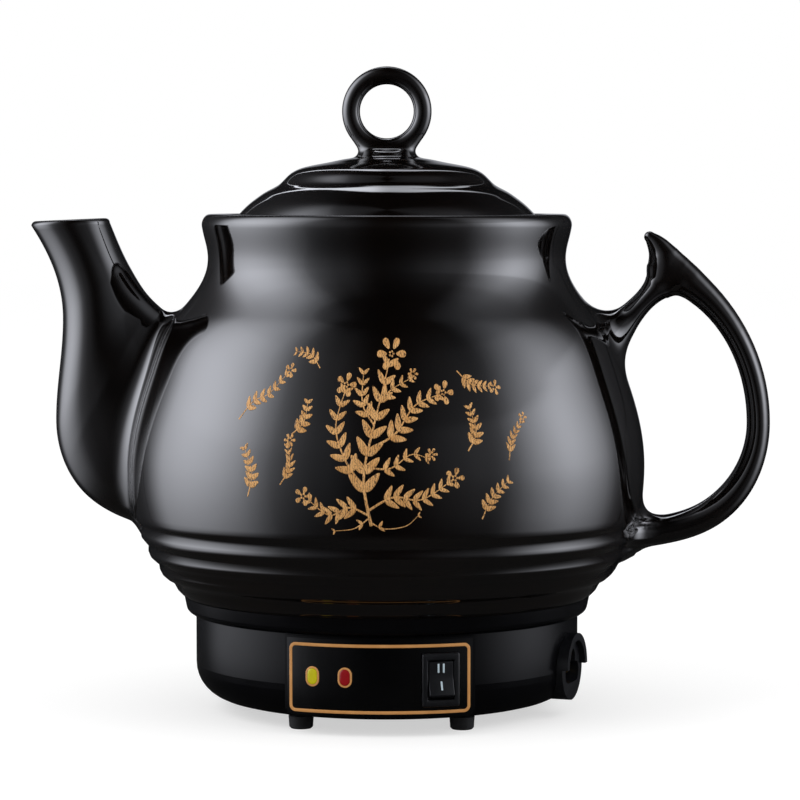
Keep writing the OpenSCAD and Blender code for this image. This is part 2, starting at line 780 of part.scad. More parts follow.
module switch_housing() {
    color("#101012") on_switch() difference() {
        union() {
            rounded_plate(bezel_w, bezel_h, bezel_t, 0.8);
            translate([0, 0, -switch_body_d]) rounded_plate(switch_body_w, switch_body_h, switch_body_d + 0.5, 0.4);
        }
        translate([0, 0, -cavity_d]) linear_extrude(cavity_d + bezel_t + 1)
            square([cavity_w, cavity_h], center = true);
        translate([-rocker_w / 2 - pin_reach - 0.1, 0, pivot_out]) rotate([0, 90, 0])
            cylinder(d = pivot_d + 2 * pivot_gap, h = rocker_w + 2 * pin_reach + 0.2, $fn = 48);
        for (y = [-1 : 1]) translate([0, y * terminal_pitch, -switch_body_d - 1])
            linear_extrude(switch_body_d - cavity_d + 2)
                square([terminal_w + 0.1, terminal_t + 0.1], center = true);
    }
}

face_out = 2.2;
rocker_back = 3.2;
plunger_len = 7;
plunger_r = 1;
// Rocker drawn in its middle position about its pivot
module rocker_form() {
    reach = rocker_r + 1;
    rise = reach * tan(rocker_tilt);
    union() {
        rotate([90, 0, 90]) translate([0, 0, -rocker_w / 2]) linear_extrude(rocker_w) intersection() {
            circle(rocker_r, $fn = 64);
            polygon([[-reach, -rocker_back], [reach, -rocker_back], [reach, face_out + rise],
                [0, face_out], [-reach, face_out + rise]]);
        }
        translate([-rocker_w / 2 - pin_reach, 0, 0]) rotate([0, 90, 0])
            cylinder(d = pivot_d, h = rocker_w + 2 * pin_reach, $fn = 48);
        translate([0, 0, -plunger_len]) cylinder(r = plunger_r, h = plunger_len - rocker_back + 1, $fn = 24);
    }
}

module switch_rocker() {
    color("#0b0b0c") on_switch() translate([0, 0, pivot_out]) rotate([-rocker_tilt, 0, 0]) rocker_form();
}

contact_pivot_out = -9;
contact_t = 0.6;
contact_len = 12;
contact_w = 4;
contact_lift = 0.4;
bead_r = 0.55;
// See-saw plate with a round bead along its pivot
module switch_contact() {
    color(brass) on_switch() translate([0, 0, contact_pivot_out]) rotate([contact_tilt, 0, 0]) union() {
        translate([0, 0, contact_lift + contact_t / 2])
            cube([contact_w, contact_len, contact_t], center = true);
        rotate([0, 90, 0]) cylinder(r = bead_r, h = contact_w - 1, center = true, $fn = 32);
    }
}

module switch_terminals() {
    pad_top = contact_pivot_out + contact_lift * cos(contact_tilt)
        - (contact_len / 2) * sin(contact_tilt) - 0.15;
    fulcrum_top = contact_pivot_out - bead_r - 0.1;
    color(brass) on_switch() for (y = [-1 : 1]) {
        top = y == 0 ? fulcrum_top : pad_top;
        translate([0, y * terminal_pitch, 0]) union() {
            translate([0, 0, -cavity_d]) linear_extrude(top + cavity_d)
                square([contact_w - 1, terminal_t], center = true);
            translate([0, 0, -switch_body_d - terminal_len])
                linear_extrude(terminal_len + switch_body_d - cavity_d + 0.2)
                    square([terminal_w, terminal_t], center = true);
        }
    }
}

// ---------- Power inlet ----------
// Drawn with +Z outwards from the flange's face and +Y up
inlet_body_d = 17.2;
hood_w = 3;
pin_r = 1.2;
inlet_pin_places = [[-4.9, -2.4], [4.9, -2.4], [0, 3.4]];
inlet_pin_len = 9;
inlet_tab_len = 7;

module socket_recess() {
    linear_extrude(socket_d + 1) union() {
        translate([0, -2.4]) square([10, 8], center = true);
        for (x = [-1, 1]) translate([x * 4.9, -2.4]) circle(4, $fn = 40);
        translate([0, 3.4]) circle(4, $fn = 40);
    }
}

module inlet_body() {
    color("#131315") difference() {
        union() {
            difference() {
                on_wall(inlet_angle, inlet_z, inlet_face_r) translate([0, 0, -12])
                    cylinder(r = inlet_flange_r, h = 12);
                on_axis() translate([0, 0, base_z]) rotate_extrude() difference() {
                    base_outline(-joint_gap);
                    translate([-1, -20]) square([40, 80]);
                }
            }
            on_wall(inlet_angle, inlet_z, inlet_face_r) {
                translate([0, 0, -inlet_body_d]) cylinder(r = inlet_body_r, h = inlet_body_d - 0.2);
                difference() {
                    translate([0, 0, -0.5]) cylinder(r = inlet_flange_r, h = hood_h + 0.5);
                    translate([0, 0, -1]) cylinder(r = inlet_flange_r - hood_w, h = hood_h + 2);
                    translate([-20, -40, -2]) cube([40, 40, hood_h + 4]);
                }
            }
        }
        on_wall(inlet_angle, inlet_z, inlet_face_r) translate([0, 0, -socket_d]) socket_recess();
        on_wall(inlet_angle, inlet_z, inlet_face_r)
            for (p = inlet_pin_places) translate([p[0], p[1], -inlet_body_d - 1])
                cylinder(r = pin_r + joint_gap, h = inlet_body_d, $fn = 24);
    }
}

module inlet_pins() {
    color(brass) on_wall(inlet_angle, inlet_z, inlet_face_r)
        for (p = inlet_pin_places) translate([p[0], p[1], 0])
            translate([0, 0, -inlet_body_d - inlet_tab_len]) union() {
                cylinder(r = pin_r, h = inlet_body_d + inlet_tab_len - socket_d + inlet_pin_len - pin_r, $fn = 24);
                translate([0, 0, inlet_body_d + inlet_tab_len - socket_d + inlet_pin_len - pin_r])
                    sphere(pin_r, $fn = 24);
            }
}

// ---------- Heating ----------
plate_drum_gap = 1.5;
drum_r = floor_hole_r - plate_drum_gap;
plate_top_z = pot_z + floor_t + seal_t + plate_t;
drum_z = pot_z - 1;
gasket_t = 1.5;
gasket_in_r = floor_hole_r + 4;
gasket_out_r = pot_foot_r - 4;
bracket_z = pot_z - 9;
element_z = drum_z;
element_gap_angle = 40;
clamp_screw_r = 20;
clamp_post_r = 5;

module heating_plate() {
    color(steel) on_axis() difference() {
        union() {
            translate([0, 0, plate_top_z - plate_t]) cylinder(r = plate_r, h = plate_t);
            translate([0, 0, drum_z]) cylinder(r = drum_r, h = plate_top_z - drum_z - 1);
            for (a = [0, 120, 240]) rotate([0, 0, a]) translate([clamp_screw_r, 0, bracket_z + bracket_t])
                cylinder(r = clamp_post_r, h = drum_z - bracket_z - bracket_t + 1, $fn = 32);
        }
        translate([0, 0, element_z]) rotate_extrude() translate([element_loop_r, 0])
            circle(element_d / 2 + joint_gap, $fn = 40);
        for (a = [0, 120, 240]) rotate([0, 0, a]) translate([clamp_screw_r, 0, bracket_z])
            cylinder(r = 1.9, h = 10, $fn = 24);
    }
}

module heating_element() {
    color("#8e8f92") on_axis() translate([0, 0, element_z]) union() {
        rotate([0, 0, element_gap_angle / 2]) rotate_extrude(angle = 360 - element_gap_angle)
            translate([element_loop_r, 0]) circle(element_d / 2, $fn = 40);
        for (s = [-1, 1]) rotate([0, 0, s * element_gap_angle / 2]) translate([element_loop_r, 0, 0]) {
            translate([0, 0, -14]) cylinder(r = 1.6, h = 14, $fn = 24);
            translate([0, 0, -6]) cylinder(r = 3, h = 6, $fn = 32);
        }
    }
}

module plate_seal() {
    color(silicone) on_axis() translate([0, 0, pot_z + floor_t]) difference() {
        cylinder(r = plate_r - 0.5, h = seal_t);
        translate([0, 0, -1]) cylinder(r = drum_r + 0.3, h = seal_t + 2);
    }
}

module clamp_gasket() {
    color("#d8d2c4") on_axis() translate([0, 0, pot_z - gasket_t]) difference() {
        cylinder(r = gasket_out_r, h = gasket_t);
        translate([0, 0, -1]) cylinder(r = gasket_in_r, h = gasket_t + 2);
    }
}

module clamp_bracket() {
    rim_w = 1.5;
    rim_out_r = gasket_out_r - 1;
    color(steel) on_axis() difference() {
        translate([0, 0, bracket_z]) cylinder(r = rim_out_r, h = pot_z - gasket_t - bracket_z);
        translate([0, 0, bracket_z + bracket_t]) cylinder(r = rim_out_r - rim_w, h = 20);
        translate([0, 0, bracket_z - 1]) cylinder(r = 11, h = 20);
        for (a = [0, 120, 240]) rotate([0, 0, a]) translate([clamp_screw_r, 0, bracket_z - 1])
            cylinder(r = 2.2, h = 4, $fn = 24);
        // Opening for the element's ends
        translate([element_loop_r - 6, -20, bracket_z - 1]) cube([12, 40, bracket_t + 2]);
    }
}

module clamp_screws() {
    color(steel) on_axis() for (a = [0, 120, 240]) rotate([0, 0, a])
        translate([clamp_screw_r, 0, bracket_z]) screw(3.6, 2.2, 1.85, 9);
}

thermostat_h = 8;
module thermostat() {
    color("#2a2622") on_axis() translate([0, 0, drum_z - thermostat_h]) union() {
        cylinder(d = thermostat_d - 1, h = thermostat_h - 1.5, $fn = 48);
        translate([0, 0, thermostat_h - 1.6]) cylinder(d = thermostat_d, h = 1.6, $fn = 48);
        for (x = [-1, 1]) translate([x * 4.5 - 0.4, -2.4, -7]) cube([0.8, 4.8, 7.5]);
    }
}

strap_t = 0.8;
module thermostat_strap() {
    strap_z = bracket_z - strap_t;
    color(steel) on_axis() difference() {
        translate([-14, -3.2, strap_z]) cube([28, 6.4, strap_t]);
        translate([0, 0, strap_z - 1]) cylinder(d = thermostat_d - 3, h = 1, $fn = 48);
        for (x = [-1, 1]) translate([x * 4.5 - 0.7, -2.8, strap_z - 1]) cube([1.4, 5.6, 4]);
    }
}

fuse_y = 27;
module thermal_fuse() {
    color(brass) on_axis() translate([-7, fuse_y, drum_z - 3]) rotate([0, 90, 0]) union() {
        cylinder(r = 1.8, h = 14, $fn = 24);
        translate([0, 0, -8]) cylinder(r = 0.5, h = 30, $fn = 16);
    }
}

module fuse_sleeve() {
    color("#e6e0d4") on_axis() translate([-9, fuse_y, drum_z - 3]) rotate([0, 90, 0]) difference() {
        cylinder(r = 2.95, h = 18, $fn = 32);
        translate([0, 0, -1]) cylinder(r = 1.85, h = 20, $fn = 24);
    }
}

pot_body();
spout();
handle();
lid();
lid_knob();
collar_ring();
base_housing();
bottom_cover();
rubber_feet();
cover_screws();
panel_label();
warm_window();
heat_window();
indicator_board();
indicator_lamps();
board_screws();
power_diode();
switch_housing();
switch_rocker();
switch_contact();
switch_terminals();
inlet_body();
inlet_pins();
heating_plate();
heating_element();
plate_seal();
clamp_gasket();
clamp_bracket();
clamp_screws();
thermostat();
thermostat_strap();
thermal_fuse();
fuse_sleeve();
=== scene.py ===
"""Looks of an electric herbal-medicine pot.

A black glazed pot with spout, ear handle and ring-knobbed lid stands on a satin black electric base.
Sizes are written in millimetres and become metres when a mesh is made. The pot faces -Y and the
handle points to +X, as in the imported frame.
"""

import logging
import math
from dataclasses import dataclass
from enum import Enum
from typing import Callable, Optional, Sequence

import bmesh
import bpy
import numpy as np
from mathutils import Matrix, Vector


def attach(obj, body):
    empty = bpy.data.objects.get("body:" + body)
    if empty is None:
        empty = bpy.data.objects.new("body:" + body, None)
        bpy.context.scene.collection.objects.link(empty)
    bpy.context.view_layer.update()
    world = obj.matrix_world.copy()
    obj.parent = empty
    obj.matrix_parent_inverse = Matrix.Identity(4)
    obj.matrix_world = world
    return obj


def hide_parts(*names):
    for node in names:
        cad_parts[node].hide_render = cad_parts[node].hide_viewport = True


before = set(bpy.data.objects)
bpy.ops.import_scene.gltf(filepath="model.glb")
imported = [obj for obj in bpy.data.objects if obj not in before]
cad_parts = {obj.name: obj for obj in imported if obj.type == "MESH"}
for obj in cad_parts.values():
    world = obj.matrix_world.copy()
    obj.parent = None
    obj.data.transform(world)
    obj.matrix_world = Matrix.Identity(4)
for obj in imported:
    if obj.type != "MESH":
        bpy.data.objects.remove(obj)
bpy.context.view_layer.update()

log = logging.getLogger("herb_pot")

MM = 0.001
# The pot's axis, and the height of its underside
AXIS_X = -5.35
POT_Z = 38.0
# Points closer than this, in metres, are one
SAME_PLACE = 1e-7
# How far a chain's handles reach, as a share of the distance between two knots
CHAIN_REACH = 0.35
# How often a field's mesh is evened out, how often each time it is pulled back, and the longest pull in millimetres
EVENING_ROUNDS, PULLS, LONGEST_PULL = 4, 2, 1.5
# Points round each corner of a rounded rectangle
CORNER_POINTS = 9
# The steepest slope, squared, that a turned field is corrected for
STEEPEST = 4.0
# Where a blended piece ends above the surface it grows from, and over what rise its lift fades
SEAM_RISE = 0.0012
SEAM_FADE = 1.2
# The least share of the distance between a tube's edges that counts as its thickness
LEAST_SLANT = 0.35
# The part of a noise's range that its tones and roughness are spread over
GRAIN_RANGE = (0.3, 0.7)
# The dark lines etched into a printed finish: their wave, where a line begins and is full, and their tone
ETCH_LINES = {"Scale": 330.0, "Distortion": 9.0, "Detail": 3.0, "Detail Scale": 2.5}
ETCH_EDGE, ETCH_TONE = (0.24, 0.12), (0.035, 0.014, 0.004, 1)
# How much light a clear plastic lets through
CLEAR_SHARE = 0.35

Field = Callable[[np.ndarray], np.ndarray]
Knots = Sequence[Sequence[float]]


# ---------------------------------------------------------------- curves
def heading(angle: float) -> np.ndarray:
    """Unit direction at an angle in degrees; 0 is outwards and 90 is up."""
    return np.array([math.cos(math.radians(angle)), math.sin(math.radians(angle))])


def cubic(a: np.ndarray, q: np.ndarray, r: np.ndarray, b: np.ndarray, s: float) -> np.ndarray:
    """Point at s, from 0 to 1, on a bend from a to b with handles q and r."""
    return (1 - s) ** 3 * a + 3 * s * (1 - s) ** 2 * q + 3 * s * s * (1 - s) * r + s**3 * b


def chain_at(knots: Knots, t: float) -> np.ndarray:
    """Point on a smooth chain of knots.

    Args:
        knots: rows of [outwards, up, heading in degrees].
        t: from 0 to the number of bends.

    Returns:
        The point, as [outwards, up].
    """
    i = min(int(t), len(knots) - 2)
    a, b = np.array(knots[i][:2], float), np.array(knots[i + 1][:2], float)
    reach = CHAIN_REACH * np.linalg.norm(b - a)
    return cubic(a, a + reach * heading(knots[i][2]), b - reach * heading(knots[i + 1][2]), b, t - i)


def chain(knots: Knots, steps: int) -> np.ndarray:
    """Points along a chain of knots, with steps of them to each bend."""
    count = steps * (len(knots) - 1)
    return np.array([chain_at(knots, i / steps) for i in range(count + 1)])


def shifted(knot: Sequence[float], inwards: float) -> list[float]:
    """A knot moved square to its heading, towards the wall's inner side."""
    turn = math.radians(knot[2])
    return [knot[0] - inwards * math.sin(turn), knot[1] + inwards * math.cos(turn), knot[2]]


# ---------------------------------------------------------------- meshes
def unit(rows: np.ndarray) -> np.ndarray:
    """Each row at length 1."""
    return rows / np.linalg.norm(rows, axis=1)[:, None]


def from_axis(points: np.ndarray) -> np.ndarray:
    """Each point's distance from the pot's axis."""
    return np.hypot(points[:, 0] - AXIS_X, points[:, 1])


def round_axis(radius: np.ndarray, turn: np.ndarray, z: np.ndarray) -> np.ndarray:
    """Points round the pot's axis; turn 0 is the front, and a quarter turn the handle's side."""
    return np.stack([AXIS_X + radius * np.sin(turn), -radius * np.cos(turn), z], 1)


def linked(name: str, data: bpy.types.ID) -> bpy.types.Object:
    """A new object in the scene.

    Args:
        name: the object's name.
        data: its mesh, lamp or camera.

    Returns:
        The object.
    """
    made = bpy.data.objects.new(name, data)
    bpy.context.scene.collection.objects.link(made)
    return made


def mesh_object(name: str, points: np.ndarray, faces: Sequence = (), edges: Sequence = ()) -> bpy.types.Object:
    """Makes a smooth-shaded object from points in millimetres.

    Args:
        name: the piece's name.
        points: rows of x, y, z.
        faces: rows of point numbers.
        edges: pairs of point numbers.

    Returns:
        The object, linked to the scene at the origin.
    """
    mesh = bpy.data.meshes.new(name)
    mesh.from_pydata((np.asarray(points, float) * MM).tolist(), edges, [list(map(int, f)) for f in faces])
    mesh.validate()
    mesh.polygons.foreach_set("use_smooth", [True] * len(mesh.polygons))
    return linked(name, mesh)


def face_outwards(piece: bpy.types.Object) -> None:
    """Merges doubles in a closed mesh and turns its faces outwards.

    Args:
        piece: the piece, whose mesh is changed.
    """
    work = bmesh.new()
    work.from_mesh(piece.data)
    bmesh.ops.remove_doubles(work, verts=work.verts, dist=SAME_PLACE)
    bmesh.ops.recalc_face_normals(work, faces=work.faces)
    work.to_mesh(piece.data)
    work.free()


def skin(name: str, rings: Sequence[np.ndarray], closed: bool = False) -> bpy.types.Object:
    """A mesh over rings of equal size.

    Args:
        name: the piece's name.
        rings: rings of points in millimetres.
        closed: whether the last ring joins the first; otherwise each end gets a cap.

    Returns:
        The object, with its faces outwards.
    """
    count, sides = len(rings), len(rings[0])
    faces = [(r * sides + c, r * sides + (c + 1) % sides, (r + 1) % count * sides + (c + 1) % sides,
              (r + 1) % count * sides + c) for r in range(count if closed else count - 1) for c in range(sides)]
    if not closed:
        faces += [range(sides), range((count - 1) * sides, count * sides)]
    piece = mesh_object(name, np.concatenate(rings), faces)
    face_outwards(piece)
    return piece


def surface_net(form: Field, low: Sequence[float], high: Sequence[float], cell: float) -> tuple[np.ndarray, np.ndarray]:
    """Quads over the zero level of a field, moved exactly onto it.

    Args:
        form: distance field of rows of x, y, z, negative inside.
        low: lowest corner of the searched box, in millimetres.
        high: highest corner.
        cell: size of a grid cell.

    Returns:
        Points and quads.
    """
    counts = [int(math.ceil((h - l) / cell)) + 1 for l, h in zip(low, high)]
    axes = [l + cell * np.arange(n) for l, n in zip(low, counts)]
    grid = np.stack(np.meshgrid(*axes, indexing="ij"), -1)
    value = form(grid.reshape(-1, 3)).reshape(counts)
    inside = value < 0
    cells = [n - 1 for n in counts]
    total, hits = np.zeros(cells + [3]), np.zeros(cells)
    crossings = []
    for axis in range(3):
        near = [slice(None)] * 3
        far = [slice(None)] * 3
        near[axis], far[axis] = slice(0, -1), slice(1, None)
        near, far = tuple(near), tuple(far)
        crossed = inside[near] != inside[far]
        share = np.where(crossed, value[near] / np.where(crossed, value[near] - value[far], 1), 0)
        place = grid[near] + share[..., None] * (grid[far] - grid[near])
        crossings.append((crossed, inside[near]))
        others = [a for a in range(3) if a != axis]
        for da in (0, 1):
            for db in (0, 1):
                part = [slice(None)] * 3
                for other, step in zip(others, (da, db)):
                    part[other] = slice(step, step + cells[other])
                part = tuple(part)
                total += place[part] * crossed[part][..., None]
                hits += crossed[part]
    used = hits > 0
    number = np.full(cells, -1)
    number[used] = np.arange(int(used.sum()))
    points = total[used] / hits[used][:, None]
    quads = []
    for axis, (crossed, starts_inside) in enumerate(crossings):
        a, b = [i for i in range(3) if i != axis]
        where = np.argwhere(crossed)
        keep = (where[:, a] > 0) & (where[:, b] > 0) & (where[:, a] < counts[a] - 1) & (where[:, b] < counts[b] - 1)
        where = where[keep]
        corners = []
        for da, db in ((-1, -1), (0, -1), (0, 0), (-1, 0)):
            spot = where.copy()
            spot[:, a] += da
            spot[:, b] += db
            corners.append(number[tuple(spot.T)])
        quad = np.stack(corners, 1)
        flip = starts_inside[tuple(where.T)] != (axis != 1)
        quad[flip] = quad[flip][:, ::-1]
        quads.append(quad)
    quads = np.concatenate(quads)
    for _ in range(EVENING_ROUNDS):
        points = onto(form, relaxed(points, quads))
    return points, quads


def relaxed(points: np.ndarray, quads: np.ndarray) -> np.ndarray:
    """Moves each point half way to the mean of its neighbours.

    Args:
        points: rows of x, y, z in millimetres.
        quads: rows of four point numbers.

    Returns:
        The moved points.
    """
    total, count = np.zeros_like(points), np.zeros(len(points))
    for c in range(4):
        for other in (quads[:, (c + 1) % 4], quads[:, (c - 1) % 4]):
            np.add.at(total, quads[:, c], points[other])
            np.add.at(count, quads[:, c], 1)
    mean = total / np.maximum(count, 1)[:, None]
    return np.where((count > 0)[:, None], (points + mean) / 2, points)


def slope_of(form: Field, points: np.ndarray, step: float = 0.02) -> np.ndarray:
    """The field's slope at each point.

    Args:
        form: the field.
        points: rows of x, y, z in millimetres.
        step: how far to each side the field is read.

    Returns:
        Rows of the slope along x, y and z.
    """
    rows = []
    for axis in range(3):
        move = np.zeros(3)
        move[axis] = step
        rows.append((form(points + move) - form(points - move)) / (2 * step))
    return np.stack(rows, 1)


def onto(form: Field, points: np.ndarray) -> np.ndarray:
    """Moves points onto the field's zero level.

    Args:
        form: the field.
        points: rows of x, y, z in millimetres.

    Returns:
        The moved points.
    """
    for _ in range(PULLS):
        slope = slope_of(form, points)
        step = form(points)[:, None] * slope / np.maximum((slope**2).sum(1), 1e-6)[:, None]
        points = points - np.clip(step, -LONGEST_PULL, LONGEST_PULL)
    return points


def blend_fields(a: np.ndarray, b: np.ndarray, width: float) -> np.ndarray:
    """Smooth union of two fields, which differs from the lower one only within width."""
    near = np.maximum(width - np.abs(a - b), 0) / width
    return np.minimum(a, b) - near**2 * width / 4


def blend_corner(a: np.ndarray, b: np.ndarray, width: float) -> np.ndarray:
    """Smooth intersection of two fields."""
    return -blend_fields(-a, -b, width)


def grown_from(name: str, form: Field, ground: Field, box: Sequence[Sequence[float]], cell: float,
               within: Callable, lift: float, upwards: Callable) -> bpy.types.Object:
    """Meshes what stands above the ground in a form that is blended with it.

    Args:
        name: the piece's name.
        form: field of the piece and its ground together.
        ground: field of the surface that the piece grows from.
        box: lowest and highest corner of the searched box.
        cell: size of a grid cell.
        within: tells for each point whether it can be part of the piece.
        lift: how far the edge is raised, so that it stays above the ground's own mesh.
        upwards: the direction of that, for each point.

    Returns:
        The object, open where it runs out on the ground.
    """
    points, quads = surface_net(form, *box, cell)
    keep = (ground(points)[quads] > SEAM_RISE).any(1) & within(points)[quads].all(1)
    used, quads = np.unique(quads[keep], return_inverse=True)
    points = points[used]
    near = np.clip(1 - ground(points) / SEAM_FADE, 0, 1)
    return mesh_object(name, points + (lift * near)[:, None] * upwards(points), quads.reshape(-1, 4))


def tube_field(mid: np.ndarray, thick: np.ndarray, wide: np.ndarray) -> Field:
    """Field of a tube of elliptic section whose middle line lies in the XZ plane.

    Args:
        mid: points of the middle line, as [x, z].
        thick: half of the section in the plane, for each point.
        wide: half of the section along Y.

    Returns:
        The field.
    """

    def form(points: np.ndarray) -> np.ndarray:
        """Field of the tube.

        Args:
            points: rows of x, y, z in millimetres.

        Returns:
            The distance of each point, negative inside.
        """
        x, y, z = points.T
        best = np.full(len(points), 1e9)
        a, b = np.ones(len(points)), np.ones(len(points))
        for i in range(len(mid) - 1):
            d = mid[i + 1] - mid[i]
            t = np.clip(((x - mid[i][0]) * d[0] + (z - mid[i][1]) * d[1]) / (d @ d), 0, 1)
            gap = (x - mid[i][0] - t * d[0]) ** 2 + (z - mid[i][1] - t * d[1]) ** 2
            here = gap < best
            best = np.where(here, gap, best)
            a = np.where(here, thick[i] + t * (thick[i + 1] - thick[i]), a)
            b = np.where(here, wide[i] + t * (wide[i + 1] - wide[i]), b)
        g = np.sqrt(best / a**2 + y**2 / b**2)
        return (g - 1) * g / np.maximum(np.sqrt(best / a**4 + y**2 / b**4), 1e-4)

    return form


def tube_between(upper: Knots, lower: Knots, widths: Sequence[Sequence[float]], steps: int,
                 slender: tuple[tuple[float, ...], tuple[float, ...]] = ((0.0,), (1.0,))) -> Field:
    """Field of a tube between two chains.

    Args:
        upper: knots of its one edge.
        lower: knots of its other edge.
        widths: pairs of place along the chains and half-width along Y.
        steps: pieces to each bend.
        slender: places along the chains, and the share of the full section there.

    Returns:
        The field.
    """
    ts = [i / steps for i in range(steps * (len(upper) - 1) + 1)]
    a = np.array([chain_at(upper, t) for t in ts])
    b = np.array([chain_at(lower, t) for t in ts])
    mid = (a + b) / 2
    along = np.gradient(mid, axis=0)
    across = unit(np.stack([-along[:, 1], along[:, 0]], 1))
    thick = np.maximum(np.abs(((a - b) / 2 * across).sum(1)), LEAST_SLANT * np.linalg.norm(a - b, axis=1) / 2)
    places, values = zip(*widths)
    share = np.interp(ts, *slender)
    return tube_field(mid, thick * share, np.interp(ts, places, values) * share)


# ---------------------------------------------------------------- node trees
# Points of a turned form closer than this, in metres, become one, which closes its poles and its seam
POLE_WIDTH = 2e-6
# How much a stem thins and its leaves shrink towards its tip, and the share of it without leaves
STEM_TAPER, LEAF_TAPER, BARE_STEM = 0.65, 0.45, 0.22
# Sizes of the five dots in a blossom's middle: their ring's radius and their own
DOT_RING, DOT = 0.9 * MM, 0.45 * MM
# How much a leaf narrows to its point and a petal swells to its end, and the height of both
LEAF_POINT, PETAL_SWELL, LEAF_HEIGHT = 0.7, 0.7, 0.7 * MM


class Tree:
    """A node tree that is built step by step."""

    def __init__(self, tree: bpy.types.NodeTree) -> None:
        """Takes up a tree of nodes."""
        self.tree = tree

    def add(self, kind: str, inputs: Optional[dict] = None, **props: object) -> bpy.types.Node:
        """Adds a node.

        Args:
            kind: the node's type.
            inputs: value or socket for each input, by name or number.
            props: the node's own settings.

        Returns:
            The node.
        """
        made = self.tree.nodes.new(kind)
        for key, value in props.items():
            setattr(made, key, value)
        for key, value in (inputs or {}).items():
            if isinstance(value, bpy.types.NodeSocket):
                self.tree.links.new(value, made.inputs[key])
            else:
                made.inputs[key].default_value = value
        return made

    def math(self, operation: str, a: object, b: object = 0.0) -> bpy.types.NodeSocket:
        """The result of one sum."""
        return self.add("ShaderNodeMath", {0: a, 1: b}, operation=operation).outputs[0]

    def product(self, first: object, *factors: object) -> bpy.types.NodeSocket:
        """The product of two values or more.

        Args:
            first: a value or socket.
            factors: the values or sockets that it is multiplied by.

        Returns:
            The socket of the product.
        """
        for factor in factors:
            first = self.math("MULTIPLY", first, factor)
        return first

    def less(self, whole: float, value: object, share: float) -> bpy.types.NodeSocket:
        """What is left of a whole after a share of a value is taken off."""
        return self.math("SUBTRACT", whole, self.product(value, share))


class NodeTree(Tree):
    """A geometry-node tree with named inputs."""

    def __init__(self, name: str) -> None:
        """Starts a tree with one geometry input and one output.

        Args:
            name: the tree's name.
        """
        super().__init__(bpy.data.node_groups.new(name, "GeometryNodeTree"))
        self.sockets: dict[str, str] = {}
        for way in ("INPUT", "OUTPUT"):
            self.tree.interface.new_socket("Geometry", in_out=way, socket_type="NodeSocketGeometry")
        self.start = self.tree.nodes.new("NodeGroupInput")
        self.end = self.tree.nodes.new("NodeGroupOutput")

    def ask(self, name: str, kind: str, value: Optional[float] = None) -> None:
        """Adds a named input.

        Args:
            name: the input's name.
            kind: its type of socket.
            value: its value where none is given.
        """
        socket = self.tree.interface.new_socket(name, in_out="INPUT", socket_type=f"NodeSocket{kind}")
        if value is not None:
            socket.default_value = value
        self.sockets[name] = socket.identifier

    def given(self, name: str) -> bpy.types.NodeSocket:
        """The socket that carries a named input."""
        return self.start.outputs[name]

    def parts(self, vector: bpy.types.NodeSocket) -> Sequence[bpy.types.NodeSocket]:
        """The three parts of a vector."""
        return self.add("ShaderNodeSeparateXYZ", {0: vector}).outputs

    def vector(self, x: object = 0.0, y: object = 0.0, z: object = 0.0) -> bpy.types.NodeSocket:
        """A vector from its three parts."""
        return self.add("ShaderNodeCombineXYZ", {0: x, 1: y, 2: z}).outputs[0]

    def value_of(self, kind: str) -> bpy.types.NodeSocket:
        """The first output of a node without inputs."""
        return self.add(kind).outputs[0]

    def ball(self, segments: int, rings: int, radius: float) -> bpy.types.NodeSocket:
        """A ball."""
        return self.add("GeometryNodeMeshUVSphere",
                        {"Segments": segments, "Rings": rings, "Radius": radius}).outputs[0]

    def placed(self, points: bpy.types.NodeSocket, instance: bpy.types.NodeSocket,
               **more: object) -> bpy.types.NodeSocket:
        """Copies of a form on points."""
        return self.add("GeometryNodeInstanceOnPoints", {"Points": points, "Instance": instance, **more}).outputs[0]

    def together(self, *forms: bpy.types.NodeSocket) -> bpy.types.NodeSocket:
        """Several forms in one geometry.

        Args:
            forms: their sockets.

        Returns:
            The socket of the whole.
        """
        joint = self.add("GeometryNodeJoinGeometry")
        for form in forms:
            self.tree.links.new(form, joint.inputs[0])
        return joint.outputs[0]

    def close(self, geometry: bpy.types.NodeSocket, finish: bpy.types.NodeSocket) -> None:
        """Ends the tree in smooth shading, realised instances and a material.

        Args:
            geometry: the socket of the form.
            finish: the socket of the material.
        """
        smooth = self.add("GeometryNodeSetShadeSmooth", {"Geometry": geometry})
        real = self.add("GeometryNodeRealizeInstances", {"Geometry": smooth.outputs[0]})
        dressed = self.add("GeometryNodeSetMaterial", {"Geometry": real.outputs[0], "Material": finish})
        self.tree.links.new(dressed.outputs[0], self.end.inputs[0])

    def grow(self, seed: bpy.types.Object, name: str, values: dict[str, object]) -> bpy.types.Object:
        """Runs the tree on a seed object and keeps the result as a plain mesh.

        Args:
            seed: object whose mesh is the tree's geometry input; it is removed.
            name: the new piece's name.
            values: a value for each named input.

        Returns:
            The new piece.
        """
        modifier = seed.modifiers.new("grow", "NODES")
        modifier.node_group = self.tree
        for key, value in values.items():
            modifier[self.sockets[key]] = value
        bpy.context.view_layer.update()
        ready = seed.evaluated_get(bpy.context.evaluated_depsgraph_get())
        mesh = bpy.data.meshes.new_from_object(ready)
        mesh.name = name
        seed.modifiers.remove(modifier)
        bpy.data.objects.remove(seed)
        return linked(name, mesh)


